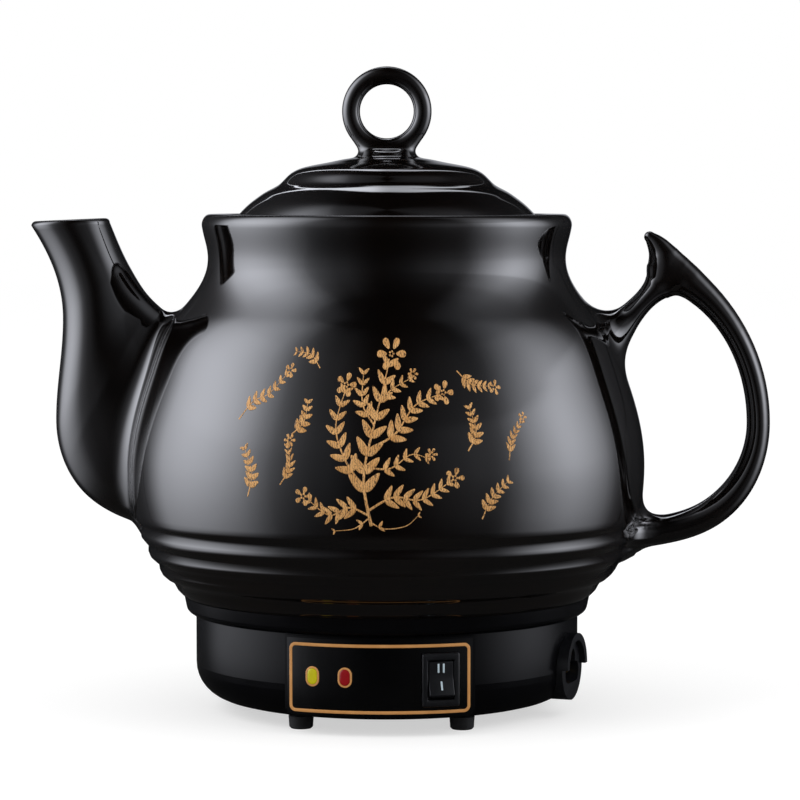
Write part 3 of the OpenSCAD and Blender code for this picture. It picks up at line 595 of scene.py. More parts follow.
def turning_tree() -> NodeTree:
    """A tree that turns a profile, given as points [radius, 0, height], round the pot's axis.

    Returns:
        The tree.
    """
    tree = NodeTree("turned form")
    tree.ask("Steps round", "Int", 192)
    tree.ask("Axis X", "Float", AXIS_X * MM)
    tree.ask("Finish", "Material")
    columns = tree.math("ADD", tree.given("Steps round"), 1.0)
    size = tree.add("GeometryNodeAttributeDomainSize", {"Geometry": tree.given("Geometry")})
    grid = tree.add("GeometryNodeMeshGrid", {"Vertices X": size.outputs["Point Count"], "Vertices Y": columns})
    index = tree.value_of("GeometryNodeInputIndex")
    row = tree.math("FLOOR", tree.math("DIVIDE", tree.math("ADD", index, 0.5), columns))
    column = tree.math("SUBTRACT", index, tree.product(row, columns))
    sample = tree.add("GeometryNodeSampleIndex", {
        "Geometry": tree.given("Geometry"), "Index": row, "Value": tree.value_of("GeometryNodeInputPosition")},
        data_type="FLOAT_VECTOR", domain="POINT")
    radius, _, height = tree.parts(sample.outputs[0])
    turn = tree.product(tree.math("DIVIDE", column, tree.given("Steps round")), math.tau)
    x = tree.math("ADD", tree.product(radius, tree.math("SINE", turn)), tree.given("Axis X"))
    y = tree.product(radius, tree.math("COSINE", turn), -1.0)
    moved = tree.add("GeometryNodeSetPosition", {"Geometry": grid.outputs["Mesh"],
                                                 "Position": tree.vector(x, y, height)})
    merged = tree.add("GeometryNodeMergeByDistance", {"Geometry": moved.outputs[0], "Distance": POLE_WIDTH})
    tree.close(merged.outputs[0], tree.given("Finish"))
    return tree


def sprig_tree() -> NodeTree:
    """A tree that draws a flat stem with leaves on both sides along a path of joined points.

    Returns:
        The tree.
    """
    tree = NodeTree("sprig")
    tree.ask("Leaf pairs", "Int", 5)
    tree.ask("Leaf length", "Float", 6 * MM)
    tree.ask("Leaf width", "Float", 2.6 * MM)
    tree.ask("Leaf spread", "Float", 0.8)
    tree.ask("Stem width", "Float", 0.8 * MM)
    tree.ask("Finish", "Material")
    path = tree.add("GeometryNodeMeshToCurve", {"Mesh": tree.given("Geometry")}).outputs[0]
    share = tree.add("GeometryNodeSplineParameter").outputs["Factor"]
    taper = tree.less(1.0, share, STEM_TAPER)
    thin = tree.add("GeometryNodeSetCurveRadius", {"Curve": path, "Radius": taper}).outputs[0]
    ring = tree.add("GeometryNodeCurvePrimitiveCircle",
                    {"Resolution": 6, "Radius": tree.product(tree.given("Stem width"), 0.5)}).outputs[0]
    swept = tree.add("GeometryNodeCurveToMesh", {"Curve": thin, "Profile Curve": ring, "Fill Caps": True})
    if "Scale" in swept.inputs:
        tree.tree.links.new(taper, swept.inputs["Scale"])
    # One leaf, from a ball drawn out to a point
    across, thick, up = tree.parts(tree.value_of("GeometryNodeInputPosition"))
    along = tree.math("ADD", up, 0.5)
    shape = tree.vector(tree.product(along, tree.given("Leaf length")),
                        tree.product(across, tree.less(1.25, along, LEAF_POINT), tree.given("Leaf width")),
                        tree.product(thick, LEAF_HEIGHT))
    leaf = tree.add("GeometryNodeSetPosition", {"Geometry": tree.ball(8, 10, 0.5), "Position": shape}).outputs[0]
    trimmed = tree.add("GeometryNodeTrimCurve", {"Curve": path}, mode="FACTOR")
    trimmed.inputs[2].default_value, trimmed.inputs[3].default_value = BARE_STEM, 1.0
    spots = tree.add("GeometryNodeResampleCurve", {"Curve": trimmed.outputs[0], "Count": tree.given("Leaf pairs")})
    aim = tree.add("FunctionNodeAlignEulerToVector", {"Vector": tree.value_of("GeometryNodeInputTangent")},
                   axis="X").outputs[0]
    size = tree.less(1.1, share, LEAF_TAPER)
    both = []
    for side in (-1.0, 1.0):
        lean = tree.vector(z=tree.product(tree.given("Leaf spread"), side))
        turned = tree.add("FunctionNodeRotateEuler", {"Rotation": aim, "Rotate By": lean}, space="OBJECT").outputs[0]
        both.append(tree.placed(spots.outputs[0], leaf, Rotation=turned, Scale=size))
    tree.close(tree.together(swept.outputs[0], *both), tree.given("Finish"))
    return tree


def blossom_tree() -> NodeTree:
    """A tree that sets a ring of petals and a middle of dots round each point of its input.

    Returns:
        The tree.
    """
    tree = NodeTree("blossom")
    tree.ask("Petals", "Int", 6)
    tree.ask("Petal length", "Float", 3.5 * MM)
    tree.ask("Petal width", "Float", 2.2 * MM)
    tree.ask("Finish", "Material")
    across, thick, up = tree.parts(tree.value_of("GeometryNodeInputPosition"))
    rounded = tree.math("ADD", 0.85, tree.product(up, PETAL_SWELL))
    shape = tree.vector(tree.product(tree.math("ADD", up, 0.95), tree.given("Petal length")),
                        tree.product(across, rounded, tree.given("Petal width")), tree.product(thick, LEAF_HEIGHT))
    petal = tree.add("GeometryNodeSetPosition", {"Geometry": tree.ball(8, 8, 0.5), "Position": shape}).outputs[0]
    ring = tree.add("GeometryNodeMeshCircle", {"Vertices": tree.given("Petals"), "Radius": 1e-5}).outputs[0]
    share = tree.math("DIVIDE", tree.value_of("GeometryNodeInputIndex"), tree.given("Petals"))
    petals = tree.placed(ring, petal, Rotation=tree.vector(z=tree.product(share, math.tau)))
    middle = tree.add("GeometryNodeMeshCircle", {"Vertices": 5, "Radius": DOT_RING}).outputs[0]
    dots = tree.placed(middle, tree.ball(8, 6, DOT))
    tree.close(tree.placed(tree.given("Geometry"), tree.together(petals, dots)), tree.given("Finish"))
    return tree


# ---------------------------------------------------------------- finishes
class ShaderTree(Tree):
    """A shader-node tree."""

    def __init__(self, tree: bpy.types.NodeTree) -> None:
        """Takes up a tree and empties it."""
        super().__init__(tree)
        tree.nodes.clear()

    def mixed(self, share: object, first: bpy.types.Node, second: bpy.types.Node) -> bpy.types.Node:
        """A shader between two others."""
        return self.add("ShaderNodeMixShader", {0: share, 1: first.outputs[0], 2: second.outputs[0]})

    def halved(self, value: object) -> bpy.types.NodeSocket:
        """A value from -1 to 1 moved to the scale 0 to 1."""
        return self.product(self.math("ADD", value, 1.0), 0.5)

    def tint(self, share: object, first: object, second: object) -> bpy.types.NodeSocket:
        """A colour between two others."""
        return self.add("ShaderNodeMix", {0: share, 6: first, 7: second}, data_type="RGBA").outputs[2]

    def ramp(self, value: object, start: float, end: float, low: float = 0.0, high: float = 1.0,
             soft: bool = False) -> bpy.types.NodeSocket:
        """A value moved from one range to another and held within it, with soft ends if wanted.

        Args:
            value: the value.
            start: where the first range starts.
            end: where it ends.
            low: what its start becomes.
            high: what its end becomes.
            soft: whether its ends are soft.

        Returns:
            The socket of the result.
        """
        kind = "SMOOTHSTEP" if soft else "LINEAR"
        return self.add("ShaderNodeMapRange", {"Value": value, "From Min": start, "From Max": end, "To Min": low,
                                               "To Max": high}, interpolation_type=kind).outputs[0]

    def curve(self, value: object, points: Sequence[tuple[float, float]]) -> bpy.types.NodeSocket:
        """A value from 0 to 1 read through a curve of points.

        Args:
            value: the value.
            points: pairs of place and height on the curve.

        Returns:
            The socket of the result.
        """
        made = self.add("ShaderNodeFloatCurve", {"Value": value})
        line = made.mapping.curves[0]
        line.points[0].location, line.points[-1].location = points[0], points[-1]
        for point in points[1:-1]:
            line.points.new(*point)
        made.mapping.update()
        return made.outputs[0]


class Sheen(Enum):
    """How a surface shines."""

    PLAIN = "plain"
    METAL = "metal"
    CLEAR = "clear"


@dataclass(frozen=True)
class Finish:
    """A surface finish with two tones, a grain and a fine unevenness.

    The colours are linear; scales are per metre, and bump heights are in metres.
    """

    name: str
    tone: tuple[float, float, float]
    second_tone: tuple[float, float, float]
    roughness: float
    roughness_spread: float = 0.04
    grain_scale: float = 60.0
    bump_scale: float = 900.0
    bump_height: float = 0.00002
    sheen: Sheen = Sheen.PLAIN
    ior: float = 1.5
    specular: float = 0.5
    etched: float = 0.0
    stretch: tuple[float, float, float] = (1.0, 1.0, 1.0)

    def material(self) -> bpy.types.Material:
        """The finish as a material, which is made once.

        Returns:
            The material.
        """
        name = f"{self.name}_finish"
        known = bpy.data.materials.get(name)
        if known:
            return known
        made = bpy.data.materials.new(name)
        made.use_nodes = True
        tree = ShaderTree(made.node_tree)
        place = tree.add("ShaderNodeTexCoord").outputs["Object"]
        spread = tree.add("ShaderNodeMapping", {"Vector": place, "Scale": self.stretch}).outputs[0]
        grain = tree.add("ShaderNodeTexNoise", {"Vector": spread, "Scale": self.grain_scale, "Detail": 4.0,
                                                "Roughness": 0.6}).outputs["Fac"]
        colour = tree.tint(tree.ramp(grain, *GRAIN_RANGE), (*self.tone, 1), (*self.second_tone, 1))
        if self.etched:
            lines = tree.add("ShaderNodeTexWave", {"Vector": place, **ETCH_LINES}).outputs["Fac"]
            colour = tree.tint(tree.ramp(lines, *ETCH_EDGE, 0.0, self.etched), colour, ETCH_TONE)
        low, high = max(self.roughness - self.roughness_spread, 0.01), self.roughness + self.roughness_spread
        fine = tree.add("ShaderNodeTexNoise", {"Vector": spread, "Scale": self.bump_scale, "Detail": 2.0})
        bump = tree.add("ShaderNodeBump", {"Height": fine.outputs["Fac"], "Strength": 1.0,
                                           "Distance": self.bump_height}).outputs[0]
        shader = tree.add("ShaderNodeBsdfPrincipled", {
            "Base Color": colour, "Roughness": tree.ramp(grain, *GRAIN_RANGE, low, high), "Normal": bump,
            "IOR": self.ior, "Specular IOR Level": self.specular})
        if self.sheen is Sheen.METAL:
            shader.inputs["Metallic"].default_value = 1.0
        if self.sheen is Sheen.CLEAR:
            shader.inputs["Transmission Weight"].default_value = CLEAR_SHARE
        tree.add("ShaderNodeOutputMaterial", {"Surface": shader.outputs[0]})
        return made

    def on(self, piece: bpy.types.Object) -> bpy.types.Object:
        """Puts the finish all over a piece.

        Args:
            piece: the piece.

        Returns:
            The piece.
        """
        piece.data.materials.clear()
        piece.data.materials.append(self.material())
        return piece


GLAZE = Finish("black_glaze", (0.0012, 0.001, 0.001), (0.003, 0.0018, 0.0013), 0.055, 0.012, 22.0, 260.0, 0.000006,
               ior=1.85)
SATIN = Finish("satin_black_plastic", (0.0016, 0.0016, 0.002), (0.0023, 0.0023, 0.0029), 0.24, 0.03, 45.0, 2600.0,
               0.000005, specular=0.13)
LABEL = Finish("label_black", (0.0008, 0.0008, 0.001), (0.0014, 0.0014, 0.0016), 0.17, 0.02, 60.0, 1800.0, 0.000003,
               specular=0.35)
GOLD = Finish("printed_gold", (0.52, 0.25, 0.07), (0.74, 0.41, 0.15), 0.42, 0.06, 240.0, 2200.0, 0.00001, etched=0.8)
BORDER_GOLD = Finish("border_gold", (0.52, 0.235, 0.065), (0.60, 0.29, 0.09), 0.4, 0.05, 200.0, 2000.0, 0.000008)
RUBBER = Finish("foot_rubber", (0.006, 0.006, 0.0065), (0.012, 0.012, 0.013), 0.72, 0.08, 90.0, 1500.0, 0.00004)
YELLOW_LENS = Finish("yellow_lens", (0.46, 0.42, 0.001), (0.56, 0.5, 0.002), 0.22, 0.03, 120.0, 900.0, 0.000004)
RED_LENS = Finish("red_lens", (0.24, 0.002, 0.005), (0.31, 0.004, 0.007), 0.22, 0.03, 120.0, 900.0, 0.000004)
MARK_WHITE = Finish("mark_white", (0.42, 0.52, 0.58), (0.5, 0.6, 0.66), 0.45, 0.05, 300.0, 1500.0, 0.000004)
SWITCH_BLACK = Finish("switch_black", (0.0042, 0.0044, 0.0056), (0.0066, 0.007, 0.0085), 0.34, 0.05, 130.0, 3000.0,
                      0.00001, specular=0.4)
STEEL = Finish("pressed_steel", (0.36, 0.36, 0.37), (0.5, 0.5, 0.51), 0.34, 0.08, 70.0, 700.0, 0.00002, Sheen.METAL,
               stretch=(1.0, 1.0, 9.0))
BRASS = Finish("brass", (0.60, 0.42, 0.16), (0.72, 0.52, 0.22), 0.28, 0.06, 80.0, 900.0, 0.00001, Sheen.METAL)
CAST = Finish("cast_aluminium", (0.38, 0.39, 0.40), (0.56, 0.57, 0.58), 0.5, 0.1, 120.0, 500.0, 0.00009, Sheen.METAL)
ELEMENT = Finish("element_steel", (0.22, 0.22, 0.23), (0.34, 0.33, 0.32), 0.42, 0.1, 90.0, 900.0, 0.00003, Sheen.METAL)
SILICONE = Finish("silicone", (0.50, 0.14, 0.07), (0.6, 0.18, 0.1), 0.5, 0.06, 60.0, 900.0, 0.00002)
GASKET = Finish("gasket_board", (0.56, 0.52, 0.44), (0.68, 0.64, 0.56), 0.85, 0.08, 200.0, 1800.0, 0.00007)
BOARD = Finish("circuit_board", (0.012, 0.10, 0.035), (0.02, 0.16, 0.06), 0.4, 0.06, 150.0, 1200.0, 0.00002)
LAMP = Finish("lamp_plastic", (0.6, 0.6, 0.58), (0.72, 0.72, 0.7), 0.2, 0.04, 60.0, 800.0, 0.000005, Sheen.CLEAR)
DIODE = Finish("diode_plastic", (0.02, 0.02, 0.02), (0.05, 0.05, 0.05), 0.45, 0.08, 90.0, 900.0, 0.00002)
BAKELITE = Finish("thermostat_plastic", (0.03, 0.016, 0.008), (0.06, 0.03, 0.016), 0.35, 0.06, 80.0, 900.0, 0.00002)
SLEEVE = Finish("glass_sleeve", (0.66, 0.65, 0.60), (0.8, 0.79, 0.74), 0.7, 0.1, 300.0, 1600.0, 0.00006,
                stretch=(1.0, 1.0, 3.0))


def settle(piece: bpy.types.Object, body: str, slot: str, *replaced: str) -> bpy.types.Object:
    """Rides a piece on a body, hides the nodes it stands for, and logs it.

    Args:
        piece: the piece.
        body: the body that it moves with.
        slot: its material slot; not used.
        replaced: the CAD nodes that it stands for.

    Returns:
        The piece.
    """
    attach(piece, body)
    if replaced:
        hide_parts(*replaced)
    log.info("%s: %d faces on %s", piece.name, len(piece.data.polygons), body)
    return piece


def turned(turning: NodeTree, name: str, section: np.ndarray, height: float, steps: int) -> bpy.types.Object:
    """Turns a closed section, as [radius, height above its own zero], into a glazed piece.

    Args:
        turning: the tree that turns it.
        name: the piece's name.
        section: rows of [radius, height].
        height: the section's zero, as a height in the frame.
        steps: steps round.

    Returns:
        The piece.
    """
    points = np.stack([section[:, 0], 0 * section[:, 0], section[:, 1] + height], 1)
    seed = mesh_object(f"{name}_profile", points)
    piece = turning.grow(seed, name, {"Steps round": steps, "Finish": GLAZE.material()})
    face_outwards(piece)
    return GLAZE.on(piece)


# ---------------------------------------------------------------- the pot
@dataclass
class PotBody:
    """The fired pot without its spout and handle."""

    outer_knots: Knots = (
        (66, 0, 0), (84.1, 10, 39), (105, 61.5, 90), (97.5, 98.1, 109.5), (84.4, 124.2, 131), (72.8, 146, 90),
        (75.2, 159, 82))
    wall: float = 6.0
    floor_thickness: float = 8.0
    floor_hole_r: float = 50.0
    rim: tuple[float, float] = (75.2, 163.8)
    gallery_r: float = 64.8
    seat_h: float = 158.3
    mouth_r: float = 57.0
    ledge: float = 4.0
    rib_low_h: float = 14.0
    rib_top_h: float = 37.3
    rib_count: int = 4
    rib_depth: float = 1.9
    rib_floor: float = 0.004
    rib_power: float = 0.8
    outer_steps: int = 26
    inner_steps: int = 12
    rim_soft: float = 3.2
    gallery_soft: float = 2.5
    edge_soft: float = 0.8
    steps_round: int = 384

    def __post_init__(self) -> None:
        """Works out the outer line once."""
        self.outer_line = self.with_ribs(chain(self.outer_knots, self.outer_steps))

    def with_ribs(self, line: np.ndarray) -> np.ndarray:
        """Presses the grooves between the round ribs into the outer line.

        Args:
            line: rows of [radius, height].

        Returns:
            The line with its grooves.
        """
        along = np.gradient(line, axis=0)
        out = unit(np.stack([along[:, 1], -along[:, 0]], 1))
        pitch = (self.rib_top_h - self.rib_low_h) / (self.rib_count - 1)
        phase = (line[:, 1] - self.rib_low_h) / pitch
        swell = np.sqrt(np.sin(math.pi * phase) ** 2 + self.rib_floor) ** self.rib_power
        depth = self.rib_depth * np.clip(1 - swell, 0, 1)
        depth = np.where((phase < -0.5) | (phase > self.rib_count - 0.5), 0, depth)
        return line - out * depth[:, None]

    def radius_at(self, z: np.ndarray) -> np.ndarray:
        """The outside's radius at a height in the frame."""
        return np.interp(np.asarray(z) - POT_Z, self.outer_line[:, 1], self.outer_line[:, 0])

    def form(self, points: np.ndarray) -> np.ndarray:
        """Field of the solid that the outside bounds.

        Args:
            points: rows of x, y, z in millimetres.

        Returns:
            The distance of each point, negative inside.
        """
        z = points[:, 2]
        lean = self.radius_at(z + 0.5) - self.radius_at(z - 0.5)
        return (from_axis(points) - self.radius_at(z)) / np.sqrt(1 + np.minimum(lean**2, STEEPEST))

    def normal_at(self, points: np.ndarray) -> np.ndarray:
        """Outward direction of the pot's surface below each point.

        Args:
            points: rows of x, y, z in millimetres.

        Returns:
            Rows of unit length.
        """
        x, y, z = points[:, 0] - AXIS_X, points[:, 1], points[:, 2]
        r = from_axis(points)
        lean = (self.radius_at(z + 1.0) - self.radius_at(z - 1.0)) / 2
        return unit(np.stack([x / r, y / r, -lean], 1))

    def onto_surface(self, points: np.ndarray, lift: float) -> np.ndarray:
        """Moves points sideways onto the pot's surface, or a little above it.

        Args:
            points: rows of x, y, z in millimetres.
            lift: how far above the surface they end.

        Returns:
            The moved points.
        """
        x, y, z = points[:, 0] - AXIS_X, points[:, 1], points[:, 2]
        r, goal = from_axis(points), self.radius_at(z)
        flat = np.stack([AXIS_X + x / r * goal, y / r * goal, z], 1)
        return flat + lift * self.normal_at(flat)

    def profile(self) -> np.ndarray:
        """The closed section of the wall, as [radius, height above the pot's underside].

        Returns:
            Rows of [radius, height].
        """
        rim_r, rim_h = self.rim
        rim_edge = chain([self.outer_knots[-1], [rim_r - self.rim_soft, rim_h, 180]], 10)
        gallery = chain([[self.gallery_r + self.gallery_soft, rim_h, 180],
                         [self.gallery_r, rim_h - self.gallery_soft, 270]], 8)
        inner = [[self.outer_knots[0][0] - self.wall, self.floor_thickness, 0]]
        inner += [shifted(k, self.wall) for k in self.outer_knots[1:-1]]
        seat = [[self.gallery_r, self.seat_h + self.edge_soft], [self.gallery_r - self.edge_soft, self.seat_h],
                [self.mouth_r + self.edge_soft, self.seat_h], [self.mouth_r, self.seat_h - self.edge_soft],
                [self.mouth_r, self.seat_h - self.ledge]]
        return np.concatenate([
            [[self.floor_hole_r, 0]], self.outer_line, rim_edge[1:], gallery, seat,
            chain(inner, self.inner_steps)[::-1], [[self.floor_hole_r, self.floor_thickness], [self.floor_hole_r, 0]]])

    def build(self, turning: NodeTree) -> bpy.types.Object:
        """Turns the pot's section into its mesh."""
        piece = turned(turning, "glazed_pot", self.profile(), POT_Z, self.steps_round)
        return settle(piece, "pot", "black_glaze", "pot_body")


@dataclass
class Spout:
    """The spout, a tall oval tube that flares into the pot's wall."""

    outer_knots: Knots = (
        (90, 35.4, 5), (119.1, 45.3, 35), (135.5, 79.2, 90), (132.4, 121.5, 90), (145.2, 159, 57))
    inner_knots: Knots = (
        (76.4, 112.2, 25), (90, 123.5, 40), (99.3, 132.8, 54), (104.8, 141.7, 60.5), (113.2, 160.4, 68))
    half_widths: tuple = ((0, 20), (1.5, 20), (3, 17.5), (4, 15))
    wall: float = 4.0
    lip_rise: float = 1.8
    sides: int = 120
    flare: float = 8.0
    flare_bend: float = 0.42
    least_speed: float = 8.0
    sunk: float = 1.5
    lift: float = 0.03
    searched: tuple[float, int] = (3.2, 500)
    foot_share: float = 1.2
    lip_step: int = 15
    flare_rows: int = 13
    outside_rows: int = 60
    bore_rows: int = 40

    def ring(self, t: float, inset: float = 0.0, rise: float = 0.0) -> np.ndarray:
        """One ring of the tube at t along its chains, drawn in by inset and lifted by rise.

        Args:
            t: from 0 to the number of bends.
            inset: how far it is drawn in.
            rise: how far it is lifted.

        Returns:
            The points of the ring.
        """
        a, b = chain_at(self.outer_knots, t), chain_at(self.inner_knots, t)
        d = (a - b) / np.linalg.norm(a - b)
        a, b = a - inset * d, b + inset * d
        half_w = np.interp(t, *zip(*self.half_widths)) - inset
        turn = np.linspace(0, math.tau, self.sides, endpoint=False)
        middle, half = (a + b) / 2, (a - b) / 2
        x = middle[0] + half[0] * np.cos(turn)
        z = middle[1] + half[1] * np.cos(turn)
        return np.stack([AXIS_X - x, half_w * np.sin(turn), z + POT_Z + rise], 1)

    def emerging(self, pot: PotBody, inset: float, depth: float) -> tuple[np.ndarray, np.ndarray]:
        """Where each line along the tube last passes the pot's surface, moved inwards by depth.

        Args:
            pot: the pot's body.
            inset: how far the tube is drawn in.
            depth: how far below the surface the crossing is looked for.

        Returns:
            The place on the chains and the point, for each line.
        """
        ts = np.linspace(0, *self.searched)
        rings = np.stack([self.ring(t, inset) for t in ts])
        gap = np.stack([pot.form(r) for r in rings]) + depth
        places, points = [], []
        for c in range(self.sides):
            below = np.nonzero(gap[:, c] < 0)[0]
            i = below[-1] if len(below) else 0
            share = gap[i, c] / (gap[i, c] - gap[i + 1, c]) if len(below) else 0.0
            places.append(ts[i] + share * (ts[1] - ts[0]))
            points.append(rings[i, c] + share * (rings[i + 1, c] - rings[i, c]))
        return np.array(places), np.array(points)

    def line_points(self, places: np.ndarray, inset: float = 0.0) -> np.ndarray:
        """The tube's point at its own place for each line."""
        return np.stack([self.ring(t, inset)[c] for c, t in enumerate(places)])

    def build(self, pot: PotBody) -> bpy.types.Object:
        """Lofts the tube, its lip, its bore and the flare that joins it to the pot.

        Args:
            pot: the pot's body.

        Returns:
            The piece.
        """
        seam_t, seam = self.emerging(pot, 0.0, 0.0)
        bore_t, _ = self.emerging(pot, self.wall, self.sunk)
        step = 0.02
        speed = np.linalg.norm(self.line_points(seam_t + step) - seam, axis=1) / step
        start_t = seam_t + self.flare / np.maximum(speed, self.least_speed)
        start = self.line_points(start_t)
        inwards = unit(self.line_points(start_t - step) - start)
        along = np.roll(seam, -1, axis=0) - np.roll(seam, 1, axis=0)
        away = unit(np.cross(along, pot.normal_at(seam)))
        away[((seam - seam.mean(0)) * away).sum(1) < 0] *= -1
        end = pot.onto_surface(seam + self.flare * away, self.lift)
        end_normal = pot.normal_at(end)
        leave = unit(away - (away * end_normal).sum(1)[:, None] * end_normal)
        reach = self.flare_bend * np.linalg.norm(end - start, axis=1)[:, None]
        top = len(self.outer_knots) - 1
        rows = [end - self.sunk * self.foot_share * end_normal]
        for s in np.linspace(0, 1, self.flare_rows):
            rows.append(cubic(end, end - reach * leave, start + reach * inwards, start, s))
        for s in np.linspace(0, 1, self.outside_rows)[1:]:
            rows.append(self.line_points(start_t + s * (top - start_t)))
        for a in np.radians(np.arange(self.lip_step, 181, self.lip_step)):
            rows.append(self.ring(top, self.wall / 2 * (1 - math.cos(a)), self.lip_rise * math.sin(a)))
        for s in np.linspace(0, 1, self.bore_rows)[1:]:
            rows.append(self.line_points(top + s * (bore_t - top), self.wall))
        piece = skin("spout_form", rows, closed=True)
        return settle(GLAZE.on(piece), "pot", "black_glaze", "spout")


@dataclass
class Handle:
    """The ear handle: a bridge from the shoulder up to a horn, and a grip down to the ribs."""

    grip_outer: Knots = (
        (118.0, 149.9, -36), (131.7, 136.8, -46), (155.9, 79, -90), (138, 39.3, -142), (98, 27, -171),
        (88, 25.5, -172))
    grip_inner: Knots = (
        (110, 133, -20), (121.5, 129.6, -33), (146.5, 79, -90), (132.5, 49.7, -140), (104, 40.5, -178),
        (88, 40, -180))
    grip_widths: tuple = ((0, 7.5), (2, 8), (3, 8), (5, 9.5))
    bridge_upper: Knots = (
        (80, 119, 15), (96.1, 127.5, 38), (106.3, 139, 72), (105.7, 146.8, 93), (104.6, 153.4, 100))
    bridge_lower: Knots = (
        (86, 100, 50), (100.2, 116.1, 58), (113, 129, 25), (118.55, 147.7, 129), (108.9, 155.7, 155))
    bridge_widths: tuple = ((0, 11.5), (1, 8.5), (2, 7.5), (3, 5.5), (4, 2.4))
    root_blend: float = 12.0
    crotch_blend: float = 3.5
    steps: int = 16
    slender: tuple = ((0, 0.3, 0.7), (0.78, 0.94, 1))
    box: tuple = ((62, -26, 40), (154, 26, 198))
    nearest_x: float = 66.0
    cell: float = 0.95
    lift: float = 0.03

    def form(self, pot: PotBody) -> Field:
        """Field of the handle blended into the pot's outside.

        Args:
            pot: the pot's body.

        Returns:
            The field.
        """
        grip = tube_between(self.grip_outer, self.grip_inner, self.grip_widths, self.steps, self.slender)
        bridge = tube_between(self.bridge_upper, self.bridge_lower, self.bridge_widths, self.steps)

        def blended(points: np.ndarray) -> np.ndarray:
            """The three forms in one.

            Args:
                points: rows of x, y, z in millimetres.

            Returns:
                The distance of each point, negative inside.
            """
            own = points - np.array([AXIS_X, 0, POT_Z])
            ear = blend_fields(grip(own), bridge(own), self.crotch_blend)
            return blend_fields(ear, pot.form(points), self.root_blend)

        return blended

    def build(self, pot: PotBody) -> bpy.types.Object:
        """Meshes the handle's part of the blended form, up to where it leaves the pot's surface.

        Args:
            pot: the pot's body.

        Returns:
            The piece.
        """
        piece = grown_from("ear_handle", self.form(pot), pot.form, self.box, self.cell,
                           lambda points: points[:, 0] > self.nearest_x, self.lift, pot.normal_at)
        return settle(GLAZE.on(piece), "pot", "black_glaze", "handle")


@dataclass
class Lid:
    """The lift-off lid with its ring knob.

    The knots are [radius, height above the seat, heading]; the knob's mesh ends within knob_reach of the axis.
    """

    z: float = 196.4
    crown_h: float = 28.4
    top_knots: Knots = (
        (0, 28.6, 0), (15.8, 27.9, -8), (24, 26.3, -11), (33, 24.5, -14), (38.5, 22.2, -33), (41.8, 19.2, -46),
        (44.6, 16.8, -30), (46.6, 15.7, -26), (49.5, 14.15, -31), (53, 11.75, -36), (57, 8.5, -43), (60.5, 4.9, -48),
        (63.9, 1.2, -70))
    inner_knots: Knots = (
        (50.8, -9, 90), (50.8, 2, 95), (36, 14.9, 152), (0, 20.9, 180))
    skirt: tuple = ((63.9, 1.0), (63.2, 0.2), (62.4, 0))
    spigot_r: float = 55.8
    spigot_h: float = 9.0
    stem_r: float = 11.1
    stem_top: float = 2.6
    stem_taper: float = 0.25
    stem_taper_h: float = 4.0
    stem_soft: float = 3.0
    ring_r: float = 18.2
    ring_t: float = 7.3
    ring_lift: float = 0.4
    ring_blend: float = 6.0
    steps_round: int = 288
    top_steps: int = 14
    under_steps: int = 12
    crown_steps: int = 40
    knob_reach: float = 22.0
    knob_box_half: float = 24.0
    knob_box_z: tuple[float, float] = (-5.0, 39.0)
    knob_cell: float = 0.5
    foot_blend: float = 3.4
    lift: float = 0.02

    def profile(self) -> np.ndarray:
        """The lid's closed section, as [radius, height above its seat].

        Returns:
            Rows of [radius, height].
        """
        skirt = [*self.skirt, [self.spigot_r, 0], [self.spigot_r, -self.spigot_h + 1],
                 [self.spigot_r - 1, -self.spigot_h]]
        return np.concatenate([chain(self.top_knots, self.top_steps), skirt, chain(self.inner_knots, self.under_steps)])

    def build_lid(self, turning: NodeTree) -> bpy.types.Object:
        """Turns the lid's section into its mesh."""
        piece = turned(turning, "domed_lid", self.profile(), self.z, self.steps_round)
        return settle(piece, "lid", "black_glaze", "lid")

    def crown_form(self, points: np.ndarray) -> np.ndarray:
        """Field of the lid's rounded top."""
        top = chain(self.top_knots[:5], self.crown_steps)
        return points[:, 2] - self.z - np.interp(from_axis(points), top[:, 0], top[:, 1])

    def knob_form(self, points: np.ndarray) -> np.ndarray:
        """Field of the ring, the stem and the lid's crown, blended.

        Args:
            points: rows of x, y, z in millimetres.

        Returns:
            The distance of each point, negative inside.
        """
        x, y, z = points[:, 0] - AXIS_X, points[:, 1], points[:, 2] - self.z - self.crown_h
        tube_r = self.ring_t / 2
        loop_r = self.ring_r - tube_r
        up = z - self.ring_r - self.ring_lift
        ring = np.hypot(np.hypot(x, up) - loop_r, y) - tube_r
        side = np.hypot(x, y) - self.stem_r + self.stem_taper * np.clip(z, 0, self.stem_taper_h)
        stem = blend_corner(side, z - self.stem_top, self.stem_soft)
        return blend_fields(blend_fields(ring, stem, self.ring_blend), self.crown_form(points), self.foot_blend)

    def build_knob(self) -> bpy.types.Object:
        """Meshes the ring knob down to where its foot runs out into the lid's crown.

        Returns:
            The piece.
        """
        base, half = self.z + self.crown_h, self.knob_box_half
        low, high = self.knob_box_z
        piece = grown_from("ring_knob", self.knob_form, self.crown_form,
                           ((AXIS_X - half, -half, base + low), (AXIS_X + half, half, base + high)), self.knob_cell,
                           lambda points: from_axis(points) < self.knob_reach, self.lift, lambda _: np.eye(3)[2])
        return settle(GLAZE.on(piece), "lid", "black_glaze", "lid_knob")


